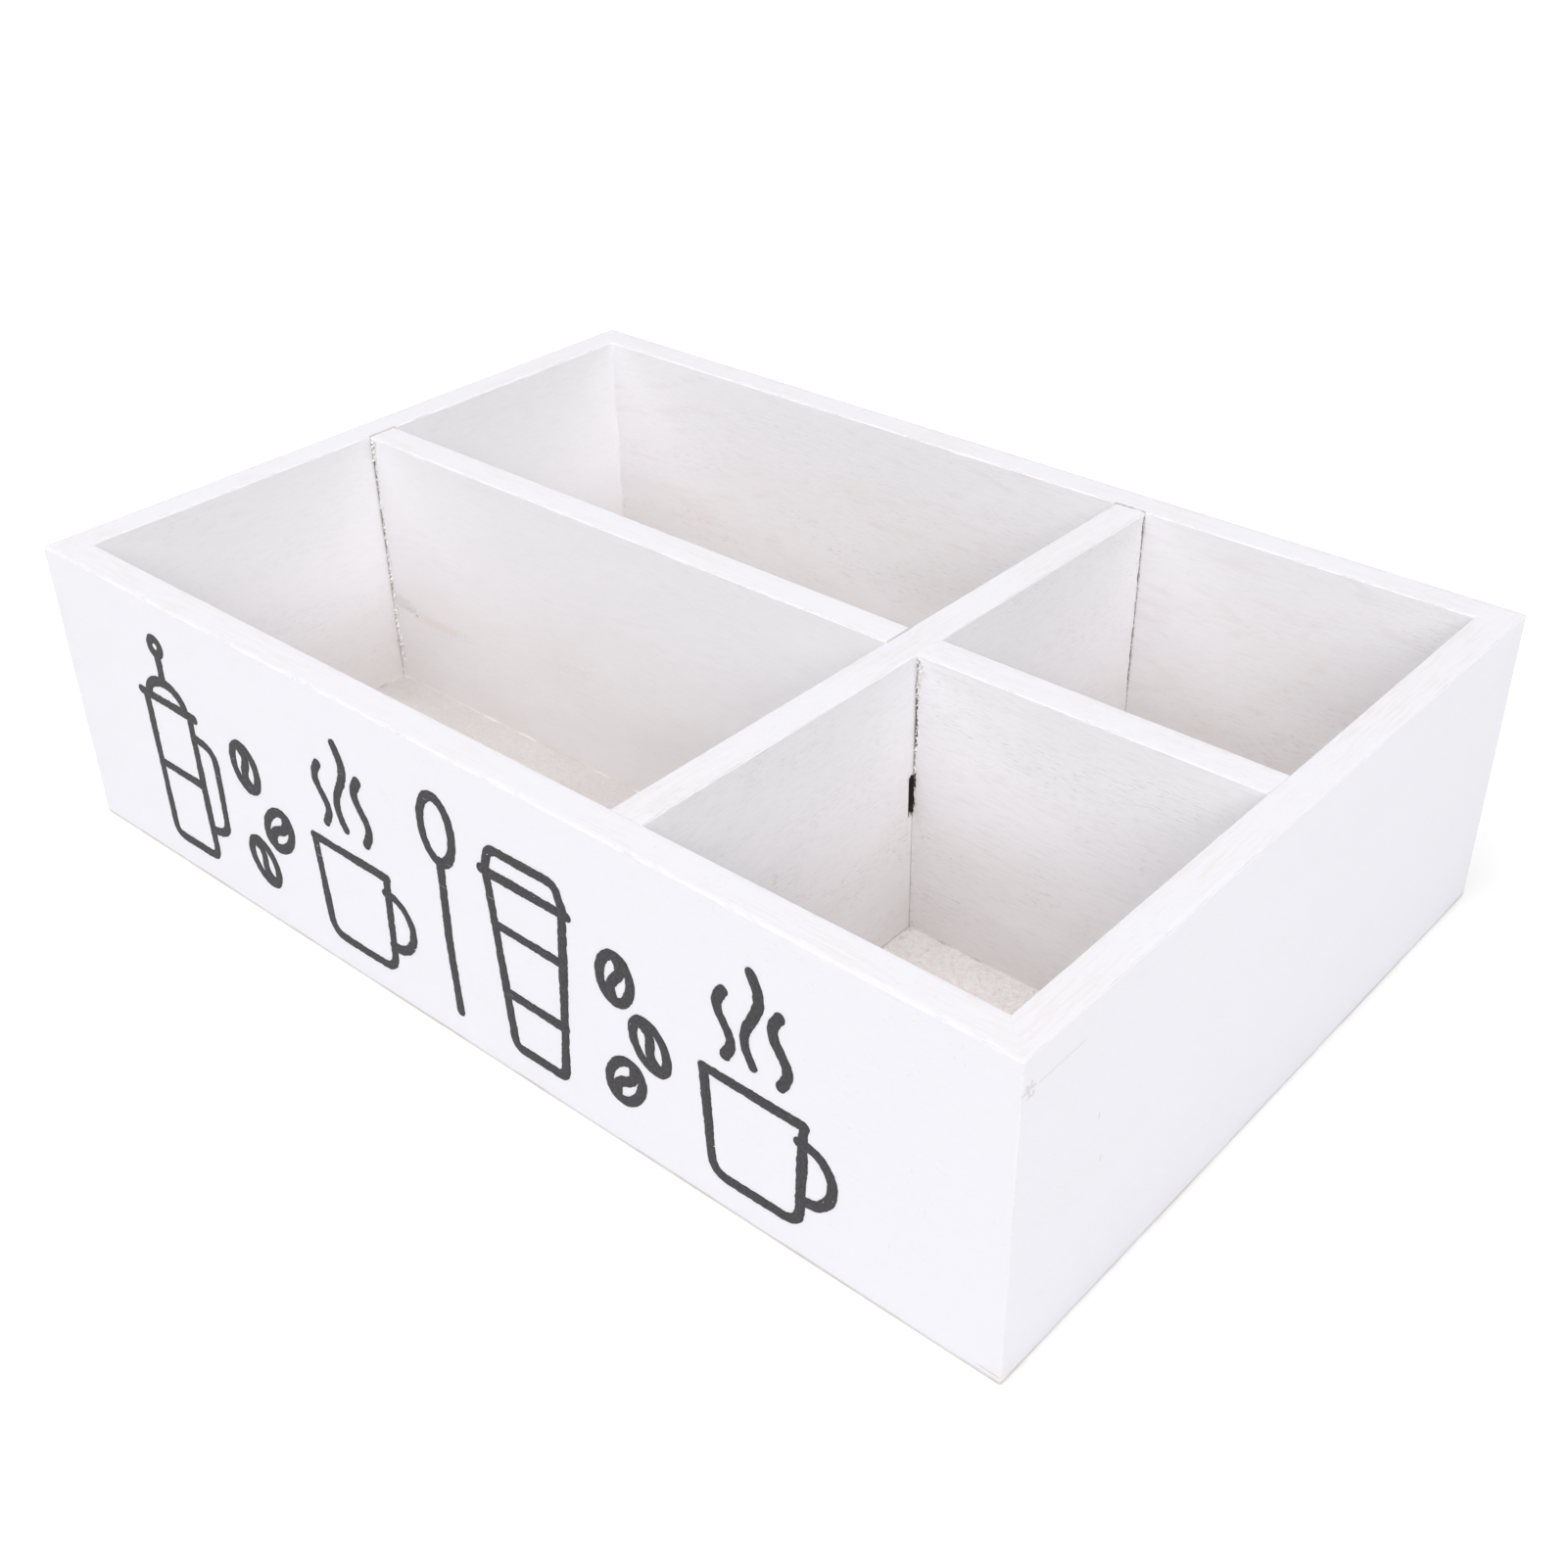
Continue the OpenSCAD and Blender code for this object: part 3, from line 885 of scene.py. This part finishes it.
wide_tears = [cracked(81, 0.62 * MM, 0.36), tight(82), tight(83), tight(84)]
narrow_tears = [cracked(85, 0.62 * MM, 0.44), tight(86), tight(87), tight(88)]
long_tears = [tight(89), tight(90), cracked(91, 0.40 * MM, 0.3), tight(92)]
wide_length, narrow_length = wide_high[0] - wide_low[0], narrow_high[0] - narrow_low[0]
long_length, long_start = long_high[1] - long_low[1], (long_high[0], long_low[1], 0)
at_slot = [(slot_middle[1], 7 * MM, 0.3 * MM)]
at_crossing = [(row_front - long_low[1], 3 * MM, 0.2 * MM)]
for name, node, start, along, sideways, length, seed, row_step, row_finer, finer, tears, extra, paint in (
    ("wide_divider", "left_divider", (*wide_low[:2], 0), X, Y, wide_length, 51,
     0.6 * MM, [], [], wide_tears, no_relief, wide_paint),
    ("narrow_divider", "right_divider", (*narrow_low[:2], 0), X, Y, narrow_length, 61,
     0.45 * MM, [], [], narrow_tears, no_relief, narrow_paint),
    ("long_divider", "cross_divider", long_start, Y, minus_x, long_length, 71,
     0.8 * MM, at_slot, at_crossing, long_tears, slot_relief, long_paint),
):
    rows = places(0, height, row_step, row_finer)
    ends = [(0, 3 * MM, 0.3 * MM), (length, 3 * MM, 0.3 * MM)]
    stations = places(0, length, 1.1 * MM, ends + finer)
    board = divider(name, start, along, sideways, length, seed, rows, stations, tears, extra)
    finish_piece(board, paint, node)

# %% [markdown]
# ## Torn paint in the seams
# Where the film tore, small curled chips still hang on. One chip is a bent plate, and a whole seam is the
# same plate repeated with other sizes, tilts and curls, all worked out in one array.

# %% Flakes
CHIP_LONG, CHIP_WIDE = 5, 3
CHIP_LAYER = CHIP_LONG * CHIP_WIDE
CHIP_THICK = 0.035 * MM
FOR_EACH = (slice(None), None, None, None)


def plate_faces():
    """Quads of one chip: its top, its underside and the wall between their rims."""
    index = np.arange(CHIP_LAYER).reshape(CHIP_LONG, CHIP_WIDE)
    top = np.stack([index[:-1, :-1], index[1:, :-1], index[1:, 1:], index[:-1, 1:]], -1).reshape(-1, 4)
    rim = np.concatenate([index[:, 0], index[-1, 1:], index[-2::-1, -1], index[0, -2:0:-1]])
    wall = np.stack([rim, rim + CHIP_LAYER, np.roll(rim, -1) + CHIP_LAYER, np.roll(rim, -1)], -1)
    return np.concatenate([top, top[:, ::-1] + CHIP_LAYER, wall])


def flakes(name, centres, long_way, wide_way, out_way, sizes, seed):
    """Curled chips. A point of a chip is centre + a * l * t + b * w * (1 - a * a / 2) * s + c * n, where a and
    b run from -1 to 1 and c is the curl a * a plus or minus half the chip's thickness."""
    random = np.random.default_rng(seed)
    count = len(centres)
    a, b = np.meshgrid(np.linspace(-1, 1, CHIP_LONG), np.linspace(-1, 1, CHIP_WIDE), indexing="ij")
    ranges = ((0.5, 1.2), (0.25, 0.6), (-0.2, 0.8))
    l, w, curl = ((sizes * random.uniform(low, high, count))[FOR_EACH] for low, high in ranges)
    tilt = random.normal(0, 0.45, (3, count, 3))
    t, s, n = (np.array(way) + jitter for way, jitter in zip((long_way, wide_way, out_way), tilt))
    t, s, n = ((v / np.linalg.norm(v, axis=1)[:, None])[FOR_EACH] for v in (t, s, n))
    layer = np.array([1.0, -1.0])[:, None, None]
    rise = curl * (a * a) + layer * CHIP_THICK
    side = w * (b * (1 - a * a / 2))
    points = laid_out(centres[FOR_EACH], (l * a, t), (side, s), (rise, n)).reshape(-1, 3)
    chips = plate_faces()[None] + 2 * CHIP_LAYER * np.arange(count)[:, None, None]
    turned = np.array([volume(points, chip) < 0 for chip in chips])
    chips[turned] = chips[turned][:, :, ::-1]
    return add_mesh(name, points, chips.reshape(-1, 4).tolist())


def seam_chips(x, y, z_range, size, count, seed, along, out, spread):
    """Places and sizes of chips along an upright seam, within a spread of the torn edge."""
    random = np.random.default_rng(seed)
    z = random.uniform(z_range[0], z_range[1], count)
    off = random.uniform(0.15, 1.0, count) * spread
    centres = np.stack([np.full(count, x), np.full(count, y), z], -1) + off[:, None] * np.array(along)
    return centres + 0.05 * MM * np.array(out), size * random.uniform(0.6, 1.3, count)


def chip_finish(name, white, cream, low=None):
    """Loose or gathered paint: white, with cream where noise is high, and where a low colour is given, darker
    towards the floor as a painted shade.
    """
    material, tree, shader, place = new_material(name)
    paint = use_group(tree, coat, Vector=place, Pinholes=0.2)
    colour = blend(tree, threshold(tree, noise(tree, place, 1400.0, 1.0), 0.45, 0.62), white, cream)
    if low is not None:
        # Painted shade: darker towards the floor.
        colour = blend(tree, threshold(tree, axes(tree, place)[2], 0.065, 0.004), colour, low)
    normal = bump(tree, paint["Height"], 0.4, 0.0001)
    fill(tree, shader, {"Base Color": colour, "Normal": normal, "Roughness": 0.7})
    return material


torn_paint = chip_finish("torn_paint", (0.93, 0.92, 0.93, 1), (0.90, 0.86, 0.81, 1))
slot_top = slot_middle[1] + slot_half[1]
seams = {
    "seam_flakes_wall": (wide_low[0], row_front, X, minus_y, [
        ((0.074, 0.0787), 0.70, 26, 1.3), ((0.028, 0.074), 0.52, 120, 1.3), ((0.030, 0.073), 0.60, 10, 0.3),
        ((0.004, 0.029), 0.65, 80, 1.5)]),
    "seam_flakes_slot": (narrow_low[0], row_front, X, minus_y, [
        ((0.069, 0.0787), 0.50, 40, 1.2), ((slot_top, 0.069), 0.36, 80, 1.1), ((slot_top, 0.062), 0.60, 7, 0.4),
        ((0.0362, 0.0370), 0.5, 3, 0.1), ((0.036, slot_top), 0.28, 16, 0.5), ((0.004, 0.036), 0.20, 26, 0.4)]),
    "seam_flakes_back": (long_high[0], long_high[1], minus_y, X, [
        ((0.020, 0.0785), 0.28, 60, 0.6)]),
}
for name, (x, y, along, out, runs) in seams.items():
    chips = [
        seam_chips(x, y, z_range, size * MM, count, 101 + number, along, out, spread * MM)
        for number, (z_range, size, count, spread) in enumerate(runs)
    ]
    centres, sizes = (np.concatenate(parts) for parts in zip(*chips))
    finish_piece(flakes(name, centres, (0.2, 0, 1), along, out, sizes, 107), torn_paint, None)

# %% [markdown]
# ## Beads of paint in the corners
# Paint gathers in inside corners and dries as a small hollow fillet. It is drawn here as a quarter circle
# whose radius wanders along the corner, closed behind by a point inside the wood.

# %% Corner beads
BEAD_SINK, FOOT_SINK, BEAD_BACK = 0.14 * MM, 0.3 * MM, 0.5 * MM
CORNER_BEAD, FOOT_BEAD = 0.55 * MM, 0.75 * MM


def bead_rings(begin, end, way_a, way_b, radius, seed, sink=BEAD_SINK):
    """Rings along a corner line. Each is the quarter circle (r - r cos u, r - r sin u) in the two faces'
    directions, sunk a little into both coats and closed by a point behind the corner."""
    begin, end = np.array(begin), np.array(end)
    length = np.linalg.norm(end - begin)
    s = np.linspace(0, 1, max(3, int(length / (1.2 * MM))))
    wander = 0.7 + 0.45 * soft_noise(s * length, 0, 5 * MM, 1, seed)
    wander = wander + 0.2 * soft_noise(s * length, 0, 1.6 * MM, 1, seed + 1)
    r = radius * np.clip(wander, 0.15, None)[:, None]
    u = np.radians(np.linspace(0, 90, 6))[None, :]
    behind = np.full((len(s), 1), -BEAD_BACK)
    a = np.concatenate([r - r * np.cos(u) - BEAD_SINK, behind], 1)
    b = np.concatenate([r - r * np.sin(u) - sink, behind], 1)
    spine = begin + s[:, None] * (end - begin)
    return laid_out(spine[:, None, :], (a, way_a), (b, way_b))


in_x, in_y = half_x - wall_t, half_y - wall_t
bays_x = [(-in_x, long_low[0]), (long_high[0], in_x)]
bays_y = [(-in_y, wide_low[1]), (wide_high[1], in_y)]
cracked_corners = {(-in_x, row_front), (long_high[0], row_front), (long_high[0], in_y)}
bead_top = divider_top - 1.5 * MM
beads_made = []
seed = 200
for x0, x1 in bays_x:
    for y0, y1 in bays_y:
        sides_x, sides_y = ((x0, X), (x1, minus_x)), ((y0, Y), (y1, minus_y))
        for x, way_x in sides_x:
            for y, way_y in sides_y:
                seed += 2
                if not any(abs(x - cx) + abs(y - cy) < 0.5 * MM for cx, cy in cracked_corners):
                    corner = bead_rings((x, y, floor_t), (x, y, bead_top), way_x, way_y, CORNER_BEAD, seed)
                    beads_made.append(corner)
        seed += 8
        for y, way in sides_y:
            foot = bead_rings((x0, y, floor_t), (x1, y, floor_t), way, UP, FOOT_BEAD, seed + 2, FOOT_SINK)
            beads_made.append(foot)
        for x, way in sides_x:
            open_slit = x == long_high[0] and y1 == row_front
            end = y1 - 11 * MM if open_slit else y1
            foot = bead_rings((x, y0, floor_t), (x, end, floor_t), way, UP, FOOT_BEAD, seed + 5, FOOT_SINK)
            beads_made.append(foot)
print(len(beads_made), "beads in corners and along feet")
# The beads take the inside's lighter paint, a painted light, and its darker, warmer paint low down, a painted
# shade.
bead_paint = chip_finish("bead_paint", INSIDE_PAINT_LIT, INSIDE_PAINT_LIT, LOW_PAINT_SHADED)
finish_piece(many_lofts("corner_beads", beads_made), bead_paint, None)

# %% [markdown]
# ## The printed front
# The front carries a row of coffee things in charcoal, drawn as with a marker: a press, beans, steaming mugs,
# a spoon and a lidded cup. Each line is a path with a width. The ink is a real layer, thinner than a hair,
# with edges that wander where the brush of the stencil lifted it.

# %% Paths of the drawing
def curve(*points):
    """A path through the points in millimetres."""
    return np.array(points, float)


def oval(x, z, rx, rz, begin=0, end=360):
    """An ellipse or part of one: (x + rx cos a, z + rz sin a)."""
    a = np.radians(np.linspace(begin, end, 60))
    return np.stack([x + rx * np.cos(a), z + rz * np.sin(a)], -1)


def steam(x, z0, z1, swing):
    """A rising wave: x + swing * sin(2 pi t), with t from 0 to 1 up its height."""
    t = np.linspace(0, 1, 50)
    return np.stack([x + swing * np.sin(2 * np.pi * t), z0 + (z1 - z0) * t], -1)


def rounded(radius, *points):
    """A polyline whose inner corners are cut by quadratic curves that start a radius away from each."""
    points = np.array(points, float)
    path = [points[:1]]
    for before, corner, after in zip(points[:-2], points[1:-1], points[2:]):
        p, q = (corner + (end - corner) / np.linalg.norm(end - corner) * radius for end in (before, after))
        t = np.linspace(0, 1, 9)[:, None]
        path.append((1 - t) ** 2 * p + 2 * t * (1 - t) * corner + t**2 * q)
    path.append(points[-1:])
    return np.concatenate(path)


def mug():
    """A mug: body, rim, handle and three wisps of steam."""
    return [
        rounded(4.5, (-13, 27), (-11.6, 0), (11.6, 0), (13, 27)),
        curve((-13.2, 27.6), (13.2, 27.2)),
        oval(13, 15, 7.2, 7.6, -98, 100),
        steam(-7, 34, 50, 1.7), steam(0.3, 35, 58, -2.0), steam(7.4, 34, 51, 1.8),
    ]


def press():
    """A coffee press: glass, bands, lid, plunger and handle."""
    return [
        rounded(3, (-9, 42), (-9, 0), (9, 0), (9, 42)),
        curve((-11, 42.4), (11, 42)),
        oval(0, 42.5, 7.5, 5.5, 0, 180),
        curve((0, 48.5), (0.2, 56)),
        oval(0, 58.2, 2.1, 2.1),
        rounded(4.5, (9.5, 36), (17, 35), (16.4, 10), (9.5, 9)),
        curve((-8.6, 22), (8.6, 21.6)),
    ]


def spoon():
    """A spoon that stands on its handle."""
    return [oval(0, 50, 5.0, 8.6), curve((0, 41.6), (-0.5, 20), (0.3, 0))]


def lidded_cup():
    """A tall cup with a lid and a sleeve."""
    return [
        rounded(2.4, (-11.5, 46), (-8, 0), (8, 0), (11.5, 46)),
        rounded(1, (-13, 46.4), (13, 46.2)),
        rounded(2.2, (-12, 46.5), (-10, 53), (10, 53), (12, 46.5)),
        curve((-10.6, 33), (10.6, 32.6)), curve((-9.2, 15), (9.2, 14.6)),
    ]


def bean(lean):
    """A coffee bean: an oval with a wavy crease, leaning by an angle."""
    t = np.linspace(-1, 1, 30)
    crease = np.stack([1.1 * np.sin(np.pi * t), 5.2 * t], -1)
    turn = np.radians(lean)
    spin = np.array([[np.cos(turn), np.sin(turn)], [-np.sin(turn), np.cos(turn)]])
    return [oval(0, 0, 4.4, 6.2) @ spin, crease @ spin]


things = [
    (-104, 9, press()), (-73, 18, bean(28)), (-64, 31, bean(-35)), (-74, 45, bean(12)), (-36, 9, mug()),
    (-2, 9, spoon()), (25, 9, lidded_cup()), (52, 19, bean(-30)), (60, 33, bean(25)), (51, 46, bean(-8)),
    (88, 9, mug()),
]
drawing = [path + (x, z) for x, z, paths in things for path in paths]
print(len(drawing), "lines in the drawing")

# %% Ink
INK_WIDTH = 2.6
CAP_STEPS = 6
CAP_PITCH = 0.15
ink_front = -half_y + 0.105 * MM


def resample(path, step):
    """The same path with points a step apart, by walking its length."""
    length = path_length(path)
    s = np.linspace(0, length[-1], max(4, int(length[-1] / step) + 1))
    return np.stack([np.interp(s, length, path[:, k]) for k in (0, 1)], -1), s


def is_loop(path):
    """True where a path ends at its start."""
    return np.linalg.norm(path[0] - path[-1]) < 0.01


def ink_line(path, order):
    """Rings of one inked line. Half its width is sqrt(h h - e e), where e is how far a point lies in the
    round end, and both edges wander on their own."""
    closed = is_loop(path)
    path, s = resample(path, 0.4)
    way = np.gradient(path, axis=0)
    if closed:
        way[[0, -1]] = path[1] - path[-2]
    way /= np.linalg.norm(way, axis=1)[:, None]
    fade = np.clip(np.minimum(s, s[-1] - s) / 2, 0, 1) if closed else np.ones(len(s))
    half = INK_WIDTH / 2 * (1 + 0.10 * fade * soft_noise(s, 0, 9, 1, 300 + order))
    if closed:
        return ink_rings(path[:-1], way[:-1], half[:-1], s[:-1], order, fade[:-1])
    caps = np.linspace(0.98, 0.12, CAP_STEPS)[:, None]
    head = path[0] - way[0] * half[0] * caps
    tail = path[-1] + way[-1] * half[-1] * caps[::-1]
    shrink = np.sqrt(1 - caps[:, 0] ** 2)
    path = np.concatenate([head, path, tail])
    way = np.concatenate([np.repeat(way[:1], CAP_STEPS, 0), way, np.repeat(way[-1:], CAP_STEPS, 0)])
    half = np.concatenate([half[0] * shrink, half, half[-1] * shrink[::-1]])
    beyond = np.arange(CAP_STEPS) * CAP_PITCH
    s = np.concatenate([s[0] - 1 + beyond, s, s[-1] + CAP_PITCH + beyond])
    return ink_rings(path, way, half, s, order, np.ones(len(s)))


def ink_rings(path, way, half, s, order, fade):
    """Rings across a path: a flat layer with eased edges, whose two sides wander by noise at 0.6 and 1.7 mm."""
    across = np.array([-1, -0.93, -0.35, 0.35, 0.93, 1, 1, -1])
    lift = np.array([0.35, 1, 1, 1, 1, 0.35, -1.2, -1.2])
    left, right = (
        0.11 * soft_noise(s, 0, 0.6, 1, seed + order) + 0.07 * soft_noise(s, 0, 1.7, 1, seed + 100 + order)
        for seed in (400, 600)
    )
    edge = np.where(across < 0, (left * fade)[:, None], (right * fade)[:, None]) * (np.abs(across) > 0.5)
    reach = np.clip(half[:, None] + edge, 0.05, None) * across
    normal = np.stack([-way[:, 1], way[:, 0]], -1)
    flat = path[:, None, :] + reach[..., None] * normal[:, None, :]
    thick = (0.05 + 0.0012 * order) * lift[None, :] * np.ones((len(path), 1))
    return np.stack([flat[..., 0] * MM, ink_front - thick * MM, flat[..., 1] * MM], -1)


def ink_finish():
    """Charcoal ink, a little see-through where it skipped the grain, with pinholes that show the paint."""
    material, tree, shader, place = new_material("charcoal_ink")
    paint = use_group(tree, coat, Vector=place, Pinholes=1.0)
    fine = threshold(tree, noise(tree, place, 1500.0, 1.0), 0.3, 0.7)
    skips = threshold(tree, drawn_noise(tree, place, (160, 1400, 1400), 2.0, 0.6), 0.66, 0.78, 0, 0.35)
    holes = threshold(tree, noise(tree, place, 900.0, 1.5, 0.7), 0.735, 0.765)
    colour = blend(tree, fine, (0.034, 0.032, 0.035, 1), (0.054, 0.051, 0.055, 1))
    colour = blend(tree, skips, colour, (0.45, 0.44, 0.45, 1))
    colour = blend(tree, holes, colour, (0.80, 0.80, 0.82, 1))
    normal = bump(tree, paint["Height"], 0.4, 0.0001)
    fill(tree, shader, {"Base Color": colour, "Normal": normal, "Roughness": 0.62, "Specular IOR Level": 0.2})
    return material


loops = {order for order, path in enumerate(drawing) if is_loop(path)}
ink = many_lofts("front_print", [ink_line(path, order) for order, path in enumerate(drawing)], loops)
finish_piece(ink, ink_finish(), None)

# %% [markdown]
# ## Brads
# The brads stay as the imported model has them: stamped from flat wire, sealed inside the boards, with only the
# heads under the floor in sight. They need a drawn-steel finish: scratches along the wire and a dull bloom.

# %% Steel
def steel_finish():
    """Bright wire: fine drawing lines, dull spots, and a metal that is never quite clean."""
    material, tree, shader, place = new_material("brad_wire")
    drawn = drawn_noise(tree, place, (2500, 2500, 260), 2.0, 0.6)
    bloom = noise(tree, place, 700.0, 3.0, 0.6)
    dull = maths(tree, "ADD", times(tree, drawn, 0.5), times(tree, bloom, 0.5))
    colour = blend(tree, threshold(tree, bloom, 0.45, 0.7), (0.60, 0.60, 0.61, 1), (0.42, 0.40, 0.38, 1))
    rough = threshold(tree, dull, 0.3, 0.7, 0.25, 0.5)
    normal = bump(tree, drawn, 0.3, 0.00005)
    fill(tree, shader, {"Base Color": colour, "Roughness": rough, "Normal": normal, "Metallic": 1.0})
    return material


brad_wire = steel_finish()
for node in ("corner_brads", "divider_brads", "floor_brads"):
    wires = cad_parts[node]
    wires.data.materials.clear()
    wires.data.materials.append(brad_wire)
print("steel on three sets of brads")

# %% [markdown]
# ## Floor and light
# A white studio: pale floor, even light from all round, one large soft lamp before the box on the right and
# a weaker one on the left, which make the front a touch brighter than the side, and a third high above for
# the rim. The background is white for the camera alone, and the floor keeps the soft shadow of the box.

# %% Stage
FLOOR_REACH = 4.0
FLOOR_DROP = 0.0001
WHITE_FROM, WHITE_AT = 0.17, 0.42
WORLD_LIGHT = 0.38
WHITE = (1, 1, 1, 1)


def background_rays(tree):
    """1 for rays that show the background: straight from the camera, or by way of a gloss or a glass."""
    rays = put(tree, "ShaderNodeLightPath").outputs
    return maths(tree, "MAXIMUM", rays["Is Camera Ray"], rays["Is Glossy Ray"], rays["Is Transmission Ray"])


stage_mesh = bpy.data.meshes.new("studio_floor")
corners = [(x * FLOOR_REACH, y * FLOOR_REACH, -FLOOR_DROP) for x, y in ((-1, -1), (1, -1), (1, 1), (-1, 1))]
stage_mesh.from_pydata(corners, [], [(0, 1, 2, 3)])
studio_floor = new_object("studio_floor", stage_mesh)
floor_material, tree, shader, place = new_material("studio_floor")
away = vector_maths(tree, "DISTANCE", place, (0, 0, 0))["Value"]
fill(tree, shader, {
    "Base Color": blend(tree, noise(tree, place, 40.0), (0.93, 0.93, 0.93, 1), (0.95, 0.95, 0.95, 1)),
    "Emission Color": WHITE,
    "Emission Strength": times(tree, threshold(tree, away, WHITE_FROM, WHITE_AT), background_rays(tree)),
    "Roughness": 0.9,
    "Specular IOR Level": 0.1,
})
stage_mesh.materials.append(floor_material)

world = bpy.data.worlds.new("studio")
bpy.context.scene.world = world
world.use_nodes = True
sky = world.node_tree
sky.nodes.clear()
strength = maths(sky, "ADD", times(sky, background_rays(sky), 1.0 - WORLD_LIGHT), WORLD_LIGHT)
glow = put(sky, "ShaderNodeBackground", {"Color": WHITE, "Strength": strength})
put(sky, "ShaderNodeOutputWorld", {"Surface": glow.outputs[0]})


def soft_lamp(name, place, size, power):
    """A square area lamp that faces the origin."""
    light = bpy.data.lights.new(name, "AREA")
    light.size = size
    light.energy = power
    lamp = new_object(name, light)
    lamp.location = place
    lamp.rotation_euler = (-Vector(place)).to_track_quat("-Z", "Y").to_euler()


soft_lamp("right_key", (2.50, -1.98, 2.87), 3.3, 121.0)
soft_lamp("left_key", (-0.74, -1.65, 2.48), 2.3, 31.0)
soft_lamp("top", (-0.1, 0.2, 3.3), 1.7, 26.0)
bpy.context.scene.view_settings.view_transform = "Standard"
print("studio ready")
